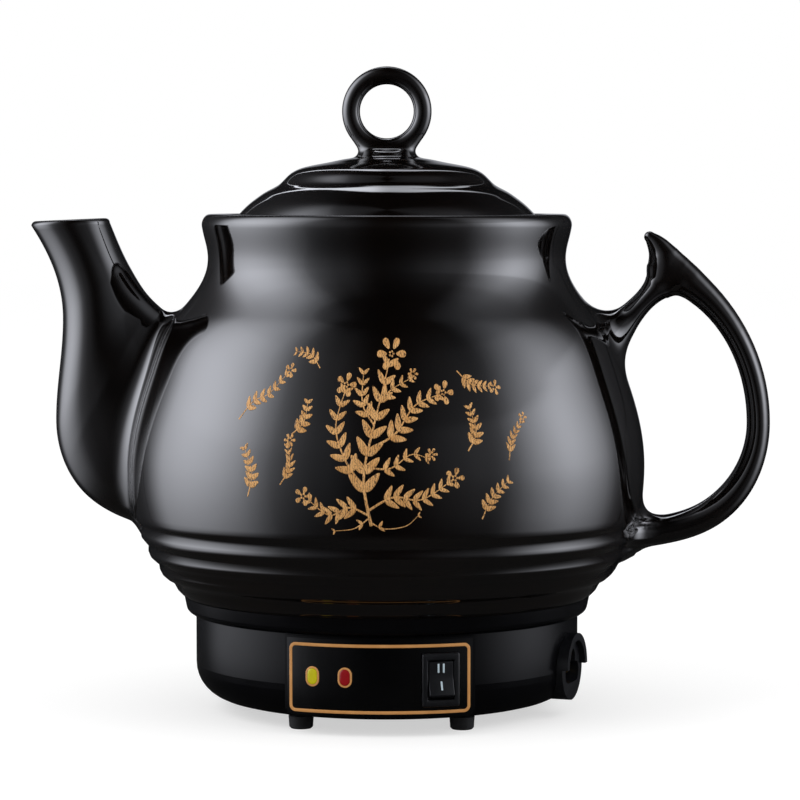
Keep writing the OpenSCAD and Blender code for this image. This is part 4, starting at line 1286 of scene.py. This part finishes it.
# ---------------------------------------------------------------- gold decoration
@dataclass
class GoldDecoration:
    """Printed gold plants on the pot's front, drawn flat and then laid on the belly."""

    across: float = 112.0
    rise: float = 5.0
    film: float = 0.03
    relief: float = 0.11

    def path(self, points: Sequence[tuple[float, float]]) -> bpy.types.Object:
        """A smooth path through a few places, as joined points.

        Args:
            points: pairs of millimetres across and up.

        Returns:
            An object of joined points.
        """
        knots = np.array(points, float)
        count = len(knots)
        rows = []
        for i in range(count - 1):
            p0, p1, p2, p3 = knots[max(i - 1, 0)], knots[i], knots[i + 1], knots[min(i + 2, count - 1)]
            for s in np.linspace(0, 1, 12, endpoint=i == count - 2):
                rows.append(0.5 * (2 * p1 + (p2 - p0) * s + (2 * p0 - 5 * p1 + 4 * p2 - p3) * s * s
                                   + (3 * p1 - p0 - 3 * p2 + p3) * s**3))
        flat = np.array(rows)
        return mesh_object("stem_path", np.column_stack([flat, 0 * flat[:, 0]]),
                           edges=[(i, i + 1) for i in range(len(flat) - 1)])

    def laid(self, piece: bpy.types.Object, pot: PotBody) -> bpy.types.Object:
        """Wraps a flat drawing, across and up in metres, round the belly.

        Args:
            piece: the drawing.
            pot: the pot's body.

        Returns:
            The drawing on the belly.
        """
        mesh = piece.data
        co = np.zeros(len(mesh.vertices) * 3)
        mesh.vertices.foreach_get("co", co)
        flat = co.reshape(-1, 3) / MM
        z = flat[:, 1] + self.rise
        out = round_axis(pot.radius_at(z), flat[:, 0] / self.across, z)
        out = out + (self.film + self.relief * flat[:, 2])[:, None] * pot.normal_at(out)
        mesh.vertices.foreach_set("co", (out * MM).ravel())
        mesh.update()
        return piece

    def build(self, pot: PotBody) -> list[bpy.types.Object]:
        """Draws the middle spray, the small sprigs round it and their blossoms.

        Args:
            pot: the pot's body.

        Returns:
            The pieces.
        """
        sprig, blossom = sprig_tree(), blossom_tree()
        gold = GOLD.material()
        stems = [
            ([(-2, 80), (-5, 98), (-1, 118), (5, 140)], 8, 8.4, 3.6, 0.75, 1.3),
            ([(-4, 94), (-12, 104), (-17, 117), (-14, 130)], 7, 6.4, 2.8, 0.8, 1.0),
            ([(-1, 110), (8, 115), (16, 125), (26, 129)], 7, 6.2, 2.7, 0.8, 1.0),
            ([(-3, 86), (7, 91), (18, 90), (29, 96)], 8, 5.8, 2.3, 0.8, 1.0),
            ([(-3, 84), (-11, 87), (-19, 84), (-27, 89)], 7, 5.4, 2.2, 0.8, 0.9),
            ([(-2, 102), (6, 102), (14, 107), (20, 106)], 5, 4.6, 1.9, 0.8, 0.8),
            ([(-1, 118), (-6, 126), (-6, 137)], 5, 5.0, 2.2, 0.8, 0.8),
            ([(1, 126), (6, 131), (14, 135)], 4, 4.4, 1.9, 0.8, 0.7),
            ([(-3, 82), (3, 79), (12, 80), (17, 84)], 2, 2.6, 1.2, 0.8, 0.6),
            ([(-3, 83), (-9, 79), (-17, 78)], 2, 2.6, 1.2, 0.8, 0.6),
        ]
        small = [
            ([(-62, 119), (-56, 126), (-49, 129), (-42, 136)], 7, 4.0, 2.0, 0.8, 0.6),
            ([(-55, 90), (-53, 99), (-57, 108)], 6, 4.0, 2.3, 0.9, 0.6),
            ([(-40, 95), (-36, 102), (-37, 109)], 6, 3.8, 1.5, 0.6, 0.6),
            ([(-36, 114), (-31, 119), (-30, 126)], 5, 3.8, 2.2, 0.9, 0.6),
            ([(36, 138), (42, 133), (50, 132)], 6, 3.8, 1.8, 0.8, 0.6),
            ([(38, 108), (42, 115), (40, 124)], 6, 4.0, 2.1, 0.9, 0.6),
            ([(44, 82), (48, 90), (55, 96)], 6, 4.0, 2.0, 0.9, 0.6),
            ([(56, 104), (58, 112), (63, 118)], 6, 3.4, 1.4, 0.6, 0.5),
            ([(-26, 139), (-31, 144), (-38, 145)], 5, 3.4, 1.7, 0.8, 0.5),
        ]
        pieces = []
        for i, (path, pairs, length, width, spread, stem) in enumerate(stems + small):
            pieces.append(sprig.grow(self.path(path), f"gold_sprig_{i:02d}", {
                "Leaf pairs": pairs, "Leaf length": length * MM, "Leaf width": width * MM, "Leaf spread": spread,
                "Stem width": stem * MM, "Finish": gold}))
        flowers = [(6.5, 144.5, 6, 4.6, 3.2), (-13.5, 133, 5, 3.2, 2.5), (29, 130, 5, 3.2, 2.5), (32, 98, 5, 2.8, 2.2),
                   (-30, 91, 5, 2.6, 2.1), (-40, 138, 5, 2.0, 1.7), (53, 131.5, 5, 2.0, 1.7), (-36.5, 112, 6, 1.8, 1.3),
                   (22.5, 107, 6, 1.8, 1.3), (16, 137, 6, 1.6, 1.2), (64.5, 120, 5, 1.5, 1.2)]
        for i, (x, y, count, length, width) in enumerate(flowers):
            spot = mesh_object("flower_spot", np.array([[x, y, 0.0]]))
            pieces.append(blossom.grow(spot, f"gold_blossom_{i:02d}", {
                "Petals": count, "Petal length": length * MM, "Petal width": width * MM, "Finish": gold}))
        ready = joined(pieces, "gold_plants")
        return [settle(GOLD.on(self.laid(ready, pot)), "pot", "black_glaze")]


def joined(pieces: Sequence[bpy.types.Object], name: str) -> bpy.types.Object:
    """Joins pieces into one mesh and removes them.

    Args:
        pieces: the pieces.
        name: the new piece's name.

    Returns:
        The new piece.
    """
    points, faces, start = [], [], 0
    for piece in pieces:
        mesh = piece.data
        points += [tuple(v.co) for v in mesh.vertices]
        faces += [[start + i for i in p.vertices] for p in mesh.polygons]
        start += len(mesh.vertices)
        bpy.data.objects.remove(piece)
    return mesh_object(name, np.array(points) / MM, faces)


# ---------------------------------------------------------------- the base
def rounded_rectangle(half_w: float, half_h: float, corner: float, along: int) -> np.ndarray:
    """Points of a rounded rectangle, with even steps along its upper and lower edges.

    Args:
        half_w: half its width.
        half_h: half its height.
        corner: its corners' radius.
        along: steps along its upper and lower edges.

    Returns:
        Rows of [across, up].
    """
    points = []
    for k, (sx, sy) in enumerate(((1, 1), (-1, 1), (-1, -1), (1, -1))):
        middle = np.array([sx * (half_w - corner), sy * (half_h - corner)])
        turn = np.radians(90 * k + np.linspace(0, 90, CORNER_POINTS))
        arc = middle + corner * np.stack([np.cos(turn), np.sin(turn)], 1)
        points.append(arc)
        if k in (0, 2):
            points.append(np.linspace(arc[-1], [-arc[-1][0], arc[-1][1]], along + 1)[1:-1])
    return np.concatenate(points)


def level_ring(half_w: float, half_h: float, corner: float, out: float, along: int) -> np.ndarray:
    """A rounded rectangle at one height above a face."""
    flat = rounded_rectangle(half_w, half_h, corner, along)
    return np.column_stack([flat, np.full(len(flat), out)])


def level_rings(half_w: float, half_h: float, corner: float, rows: Sequence[tuple[float, float]], along: int,
                turn_in: float = 1.0) -> list[np.ndarray]:
    """Rounded rectangles one inside the other.

    Args:
        half_w: half the first one's width.
        half_h: half its height.
        corner: its corners' radius.
        rows: for each one, how far it is drawn in and how high above the face it lies.
        along: steps along its upper and lower edges.
        turn_in: how much the corners' radius shrinks for each millimetre drawn in.

    Returns:
        The rings.
    """
    return [level_ring(half_w - inset, half_h - inset, corner - inset * turn_in, out, along) for inset, out in rows]


@dataclass(frozen=True)
class WallSpot:
    """A place on the base's wall with its own axes: across, up and out."""

    angle: float
    z: float
    radius: float

    def flat(self, points: np.ndarray) -> np.ndarray:
        """Points in the frame for points on a flat face at this place.

        Args:
            points: rows of across, up and out.

        Returns:
            Rows of x, y, z.
        """
        turn = math.radians(self.angle)
        x, out, z = points[:, 0], self.radius + points[:, 2], self.z + points[:, 1]
        return np.stack([AXIS_X + x * math.cos(turn) + out * math.sin(turn),
                         x * math.sin(turn) - out * math.cos(turn), z], 1)

    def wrapped(self, points: np.ndarray) -> np.ndarray:
        """Points in the frame for points laid round the wall at this place."""
        turn = math.radians(self.angle) + points[:, 0] / self.radius
        return round_axis(self.radius + points[:, 2], turn, self.z + points[:, 1])


@dataclass
class ControlPanel:
    """The label's gold line, the two windows and the rocker switch.

    The rows of a piece are its section: how far each ring is drawn in, and how high above the face it lies.
    """

    label_r: float = 79.5
    border_half_w: float = 36.4
    border_z: tuple[float, float] = (9.4, 36.5)
    border_corner: float = 2.6
    border_rows: tuple = ((0, -0.05), (0, 0.05), (0.2, 0.1), (1.05, 0.1), (1.25, 0.05), (1.25, -0.05))
    warm_angle: float = -19.1
    heat_angle: float = -9.6
    window_z: float = 23.5
    window_half: tuple[float, float] = (2.0, 3.15)
    lens_rows: tuple = ((0, -2.6), (0, 0.2), (0.12, 0.34), (0.35, 0.43), (0.8, 0.49), (1.4, 0.5))
    rim_rows: tuple = ((-0.8, -0.12), (-0.8, 0.05), (-0.65, 0.16), (-0.2, 0.2), (-0.04, 0.14), (-0.04, -0.12))
    switch: WallSpot = WallSpot(17.3, 22.6, 78.995)
    bezel_half: tuple[float, float] = (7.5, 10.5)
    cavity_half: tuple[float, float] = (5.3, 7.7)
    body_half: tuple[float, float] = (6.4, 9.4)
    rocker_half_w: float = 4.9
    rocker_r: float = 7.3
    rocker_tilt: float = 11.0
    rocker_face: float = 2.2
    face_soft: float = 1.2
    marks: tuple = ((-1.05, 4.1), (1.05, 4.1), (0.0, -2.7))
    mark_size: tuple[float, float, float] = (0.36, 1.75, 0.16)
    mark_rows: tuple = ((0, -0.05), (0, 0.03), (0.08, 0.06))
    rocker_back: float = 3.2
    rocker_top: float = 6.6
    rocker_heel: float = 6.56
    rocker_flat: float = 6.2
    pivot_out: float = -0.5

    def build_border(self) -> None:
        """Sweeps the printed gold line round the label."""
        low, high = self.border_z
        spot = WallSpot(0.0, (low + high) / 2, self.label_r)
        rings = [spot.wrapped(ring) for ring in level_rings(
            self.border_half_w, (high - low) / 2, self.border_corner, self.border_rows, 60, 0.9)]
        settle(BORDER_GOLD.on(skin("label_border", rings, closed=True)), "pot", "label_film")

    def build_window(self, name: str, angle: float, finish: Finish) -> None:
        """Builds one domed lens and the gold rim round it.

        Args:
            name: the window's name.
            angle: its place round the base, in degrees.
            finish: the lens's finish.
        """
        spot = WallSpot(angle, self.window_z, self.label_r)
        half_w, half_h = self.window_half
        rings = [spot.flat(ring) for ring in level_rings(half_w, half_h, half_w, self.lens_rows, 6)]
        settle(finish.on(skin(f"{name}_lens", rings)), "pot", finish.name, f"{name}_window")
        rings = [spot.flat(ring) for ring in level_rings(half_w, half_h, half_w, self.rim_rows, 6)]
        settle(BORDER_GOLD.on(skin(f"{name}_rim", rings, closed=True)), "pot", "label_film")

    def build_switch(self) -> None:
        """Builds the switch's housing with its softened bezel."""
        bezel, hole, body = self.bezel_half, self.cavity_half, self.body_half
        rows = ((hole, 0, 0.25, -10.5), (hole, 0, 0.25, 1.75), (hole, -0.12, 0.35, 1.93), (hole, -0.35, 0.5, 2.0),
                (bezel, 0.75, 0.6, 2.0), (bezel, 0.3, 0.7, 1.9), (bezel, 0.06, 0.8, 1.65), (bezel, 0, 0.8, 1.35),
                (bezel, 0, 0.8, 0.0), (body, 0, 0.4, 0.0), (body, 0, 0.4, -13.0))
        rings = [level_ring(w - inset, h - inset, corner, out, 8) for (w, h), inset, corner, out in rows]
        piece = skin("switch_bezel", [self.switch.flat(r) for r in rings])
        settle(SWITCH_BLACK.on(piece), "pot", "switch_plastic", "switch_housing")

    def tilted(self, points: np.ndarray) -> np.ndarray:
        """Points of the rocker, drawn in its middle position, at rest in the frame.

        Args:
            points: rows of across, up and out.

        Returns:
            Rows of x, y, z.
        """
        turn = math.radians(-self.rocker_tilt)
        x, y, z = points.T
        return self.switch.flat(np.stack([x, y * math.cos(turn) - z * math.sin(turn),
                                          y * math.sin(turn) + z * math.cos(turn) + self.pivot_out], 1))

    def face_at(self, y: np.ndarray) -> np.ndarray:
        """Height of the rocker's hollow face at a place up it."""
        rise = math.tan(math.radians(self.rocker_tilt))
        return self.rocker_face + rise * (np.sqrt(np.asarray(y) ** 2 + self.face_soft) - 1.0)

    def build_rocker(self) -> None:
        """Builds the rocker, with softened edges, and its marks."""
        face_y = np.linspace(-self.rocker_top, self.rocker_top, 25)
        face = np.stack([face_y, self.face_at(face_y)], 1)
        start = math.atan2(self.face_at(self.rocker_top), self.rocker_top)
        down = np.linspace(start, math.atan2(-self.rocker_back, self.rocker_heel), 9)[1:]
        arc = self.rocker_r * np.stack([np.cos(down), np.sin(down)], 1)
        back = np.stack([np.linspace(self.rocker_flat, -self.rocker_flat, 9), np.full(9, -self.rocker_back)], 1)
        section = np.concatenate([face, arc, back, arc[::-1] * [-1, 1]])
        soft = ((0, 0.94), (0.12, 0.98), (0.4, 1.0))
        rings = [self.tilted(np.column_stack([np.full(len(section), side * (self.rocker_half_w - inset)),
                                              section * share]))
                 for side, rows in ((-1, soft), (1, soft[::-1])) for inset, share in rows]
        settle(SWITCH_BLACK.on(skin("rocker_cap", rings)), "rocker", "switch_plastic", "switch_rocker")
        for i, middle in enumerate(self.marks):
            rings = [ring + [*middle, 0] for ring in level_rings(*self.mark_size, self.mark_rows, 2, 0.5)]
            rings = [self.tilted(ring + np.outer(self.face_at(ring[:, 1]), [0, 0, 1])) for ring in rings]
            settle(MARK_WHITE.on(skin(f"rocker_mark_{i}", rings)), "rocker", "switch_plastic")

    def build(self) -> None:
        """Builds every piece of the panel."""
        self.build_border()
        self.build_window("warm", self.warm_angle, YELLOW_LENS)
        self.build_window("heat", self.heat_angle, RED_LENS)
        self.build_switch()
        self.build_rocker()


NODE_FINISHES: dict[str, Finish] = {
    "collar_ring": SATIN, "base_housing": SATIN, "bottom_cover": SATIN, "rubber_feet": RUBBER, "cover_screws": STEEL,
    "panel_label": LABEL, "indicator_board": BOARD, "indicator_lamps": LAMP, "board_screws": STEEL,
    "power_diode": DIODE, "switch_contact": BRASS, "switch_terminals": BRASS, "inlet_body": SWITCH_BLACK,
    "inlet_pins": BRASS, "heating_plate": CAST, "heating_element": ELEMENT, "plate_seal": SILICONE,
    "clamp_gasket": GASKET, "clamp_bracket": STEEL, "clamp_screws": STEEL, "thermostat": BAKELITE,
    "thermostat_strap": STEEL, "thermal_fuse": STEEL, "fuse_sleeve": SLEEVE,
}


def dress_nodes() -> None:
    """Gives each carried-over node its finish."""
    for name, finish in NODE_FINISHES.items():
        finish.on(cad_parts[name])
    log.info("dressed %d carried-over nodes", len(NODE_FINISHES))


# ---------------------------------------------------------------- studio
def by_height(*points: tuple[float, float]) -> list[tuple[float, float]]:
    """Points of a curve over height, from -1 straight down to 1 straight up, on the scale 0 to 1."""
    return [((height + 1) / 2, value) for height, value in points]


@dataclass(frozen=True)
class SoftPanel:
    """A large soft light at one side, as it shows in reflections."""

    side: float
    power: float
    across: Sequence[tuple[float, float]]
    upright: Sequence[tuple[float, float]]


@dataclass(frozen=True)
class SoftSpot:
    """A small soft light in one direction, as it shows in reflections."""

    way: tuple[float, float, float]
    inner: float
    outer: float
    power: float


@dataclass(frozen=True)
class OverheadStrip:
    """A long soft light from left to right above and behind, as it shows in reflections.

    The band gives where it starts and ends behind the zenith, as a slope, and bend how far its ends curve away.
    """

    power: float
    band: tuple[float, float, float, float]
    bend: float
    along: Sequence[tuple[float, float]]


LEFT_PANEL = SoftPanel(-1.0, 9.6, (
    (0, 0.0025), (0.17, 0.008), (0.37, 0.03), (0.59, 0.07), (0.73, 0.15), (0.8, 0.28), (0.866, 0.47), (0.91, 0.64),
    (0.95, 0.79), (1, 1)), by_height(
    (-1, 0), (-0.64, 0.14), (-0.515, 0.24), (-0.41, 0.34), (-0.326, 0.43), (-0.24, 0.52), (-0.156, 0.62),
    (-0.017, 0.77), (0.17, 0.9), (0.34, 1), (0.5, 0.94), (0.62, 0.85), (0.72, 0.68), (0.83, 0.45), (0.91, 0.18),
    (0.945, 0.06), (1, 0.02)))
RIGHT_PANEL = SoftPanel(1.0, 8.0, (
    (0, 0.0025), (0.26, 0.012), (0.47, 0.035), (0.64, 0.06), (0.79, 0.1), (0.86, 0.22), (0.906, 0.38), (0.95, 0.6),
    (0.98, 0.8), (1, 1)), by_height(
    (-1, 0), (-0.56, 0.12), (-0.485, 0.2), (-0.39, 0.3), (-0.31, 0.41), (-0.156, 0.58), (-0.017, 0.8),
    (0.05, 0.89), (0.29, 1), (0.36, 0.98), (0.44, 0.68), (0.53, 0.55), (0.68, 0.36), (0.77, 0.2), (0.857, 0.11),
    (0.91, 0.06), (1, 0.02)))
OVERHEAD = OverheadStrip(8.2, (0.52, 0.6, 0.78, 0.86), 40.0, (
    (0, 0), (0.28, 0), (0.335, 0.5), (0.385, 1), (0.45, 1), (0.5, 0.55), (0.585, 0.6), (0.63, 0.2), (0.69, 0),
    (1, 0)))
BACKDROP_SPOT = SoftSpot((0.0, 1.0, 0.07), 3, 13, 0.9)


# The least rise by which a direction's slope behind the zenith is worked out
LEAST_RISE = 0.05
# Half the floor's side in millimetres, its tone, and the tone of the painted shade that reflections show round the pot
# in the floor's place
FLOOR_HALF, FLOOR_TONE, PAINTED_SHADE_TONE = 6000, 0.52, 0.04
# Light on matt surfaces, and the colour of the soft lights
MATT_LIGHT, SOFT_LIGHT_TONE = 0.8, (0.9, 0.92, 1.0, 1)
# Where the side panels fade towards the back, as a ramp's start and end and its values there
PANELS_FADE = (0.42, 0.8, 1.0, 0.3)


def grey(value: float) -> tuple[float, float, float, float]:
    """An opaque grey."""
    return (value, value, value, 1)


@dataclass
class Studio:
    """Floor, light and camera."""

    panels: tuple[SoftPanel, ...] = (LEFT_PANEL, RIGHT_PANEL)
    spots: tuple[SoftSpot, ...] = (BACKDROP_SPOT,)
    overhead: OverheadStrip = OVERHEAD
    floor_glow: float = 0.58
    dim: float = 0.48
    # Painted shade in the floor's reflections: full within the first distance from the middle, in metres, and gone
    # beyond the second
    painted_shade_reach: tuple[float, float] = (0.165, 0.26)
    lamps: tuple = (("left_lamp", (-1.1, -0.9, 1.2), 9.0), ("right_lamp", (1.2, -0.7, 1.0), 6.0))
    lamp_size: float = 1.0
    camera_distance: float = 1.32
    camera_side: float = 2.0
    camera_drop: float = 3.7
    lens: float = 145.5
    clip: tuple[float, float] = (0.05, 50.0)
    aim: tuple[float, float, float] = (0.0, 0.0, 0.126)

    def build_floor(self) -> None:
        """A pale floor that keeps the object's shadow, and shows painted shade round the pot in reflections."""
        floor = mesh_object("floor", FLOOR_HALF * np.array([[-1, -1, 0], [1, -1, 0], [1, 1, 0], [-1, 1, 0]]),
                            [(0, 1, 2, 3)])
        made = bpy.data.materials.new("pale_floor")
        made.use_nodes = True
        tree = ShaderTree(made.node_tree)
        path = tree.add("ShaderNodeLightPath").outputs
        matt = tree.add("ShaderNodeBsdfDiffuse", {"Color": grey(FLOOR_TONE)})
        glow = tree.add("ShaderNodeEmission", {"Strength": self.floor_glow})
        lit = tree.add("ShaderNodeAddShader", {0: matt.outputs[0], 1: glow.outputs[0]})
        seen = tree.mixed(path["Is Camera Ray"], matt, lit)
        # Glossy rays see painted shade, a dark disc round the pot that stands in for the floor's shadow near its base;
        # beyond it they pass through to the surround
        place = tree.add("ShaderNodeTexCoord").outputs["Object"]
        away = tree.add("ShaderNodeVectorMath", {0: place}, operation="LENGTH").outputs["Value"]
        dark = tree.add("ShaderNodeBsdfDiffuse", {"Color": grey(PAINTED_SHADE_TONE)})
        painted_shade = tree.mixed(tree.ramp(away, *self.painted_shade_reach, soft=True), dark, tree.add("ShaderNodeBsdfTransparent"))
        whole = tree.mixed(path["Is Glossy Ray"], seen, painted_shade)
        tree.add("ShaderNodeOutputMaterial", {"Surface": whole.outputs[0]})
        floor.data.materials.append(made)

    def reflected(self, tree: ShaderTree) -> bpy.types.NodeSocket:
        """Strength of the soft panels, the spots and the overhead strip in the direction looked in.

        Args:
            tree: the world's tree.

        Returns:
            The socket of the strength.
        """
        way = tree.add("ShaderNodeTexCoord").outputs["Generated"]
        x, y, z = tree.add("ShaderNodeSeparateXYZ", {0: way}).outputs[:3]
        level = tree.math("SQRT", tree.math("MAXIMUM", tree.less(1.0, z, z), 1e-4))
        side, back = tree.math("DIVIDE", x, level), tree.math("DIVIDE", y, level)
        height, ahead = tree.halved(z), tree.ramp(back, *PANELS_FADE, soft=True)
        total = 0.0
        for panel in self.panels:
            facing = tree.math("MAXIMUM", tree.product(side, panel.side), 0.0)
            across, upright = tree.curve(facing, panel.across), tree.curve(height, panel.upright)
            total = tree.math("ADD", total, tree.product(across, upright, ahead, panel.power))
        for spot in self.spots:
            near = tree.add("ShaderNodeVectorMath", {0: way, 1: Vector(spot.way).normalized()},
                            operation="DOT_PRODUCT").outputs["Value"]
            outer, inner = (math.cos(math.radians(edge)) for edge in (spot.outer, spot.inner))
            total = tree.math("ADD", total, tree.product(tree.ramp(near, outer, inner, soft=True), spot.power))
        strip = self.overhead
        # The strip's place is a slope behind the zenith, which grows with the third power of x towards its ends
        sideways = tree.math("POWER", tree.math("ABSOLUTE", x), 3.0)
        lean = tree.less(tree.math("DIVIDE", y, tree.math("MAXIMUM", z, LEAST_RISE)), sideways, strip.bend)
        start, full, fade, end = strip.band
        band = tree.product(tree.ramp(lean, start, full, soft=True), tree.ramp(lean, end, fade, soft=True))
        lit = tree.product(band, tree.curve(tree.halved(x), strip.along), strip.power)
        return tree.math("ADD", total, lit)

    def build_world(self) -> None:
        """A white surround for the camera, a plain one for matt surfaces and soft panels in reflections."""
        world = bpy.data.worlds.new("studio")
        bpy.context.scene.world = world
        world.use_nodes = True
        world.cycles.sampling_method = "NONE"
        tree = ShaderTree(world.node_tree)
        reflected = tree.product(self.reflected(tree), self.dim)
        glossy, plain, white = (
            tree.add("ShaderNodeBackground", {"Color": colour, "Strength": strength})
            for colour, strength in ((SOFT_LIGHT_TONE, reflected), (grey(1.0), MATT_LIGHT), (grey(1.0), 1.0)))
        path = tree.add("ShaderNodeLightPath").outputs
        first = tree.mixed(path["Is Glossy Ray"], plain, glossy)
        last = tree.mixed(path["Is Camera Ray"], first, white)
        tree.add("ShaderNodeOutputWorld", {"Surface": last.outputs[0]})

    def build_lamp(self, name: str, place: tuple[float, float, float], power: float) -> None:
        """One soft square lamp that shines on the object's middle.

        Args:
            name: the lamp's name.
            place: where it stands, in metres.
            power: its power in watts.
        """
        data = bpy.data.lights.new(name, "AREA")
        data.size = self.lamp_size
        data.energy = power
        lamp = linked(name, data)
        lamp.location = place
        lamp.rotation_euler = (Vector(self.aim) - Vector(place)).to_track_quat("-Z", "Y").to_euler()
        lamp.visible_glossy = False

    def build_camera(self) -> None:
        """The camera at the photograph's angle."""
        data = bpy.data.cameras.new("camera")
        data.lens = self.lens
        data.sensor_width = 36.0
        data.clip_start, data.clip_end = self.clip
        camera = linked("camera", data)
        side, drop = math.radians(self.camera_side), math.radians(self.camera_drop)
        away = Vector((math.sin(side) * math.cos(drop), -math.cos(side) * math.cos(drop), math.sin(drop)))
        camera.location = Vector(self.aim) + self.camera_distance * away
        camera.rotation_euler = (-away).to_track_quat("-Z", "Y").to_euler()
        bpy.context.scene.camera = camera

    def build(self) -> None:
        """Sets up the whole studio."""
        bpy.context.scene.view_settings.view_transform = "Standard"
        self.build_floor()
        self.build_world()
        for name, place, power in self.lamps:
            self.build_lamp(name, place, power)
        self.build_camera()


def main() -> None:
    """Builds every piece in order."""
    logging.basicConfig(level=logging.INFO, format="%(name)s: %(message)s")
    Studio().build()
    dress_nodes()
    turning = turning_tree()
    pot = PotBody()
    pot.build(turning)
    Spout().build(pot)
    Handle().build(pot)
    lid = Lid()
    lid.build_lid(turning)
    lid.build_knob()
    GoldDecoration().build(pot)
    ControlPanel().build()


if __name__ == "__main__":
    main()
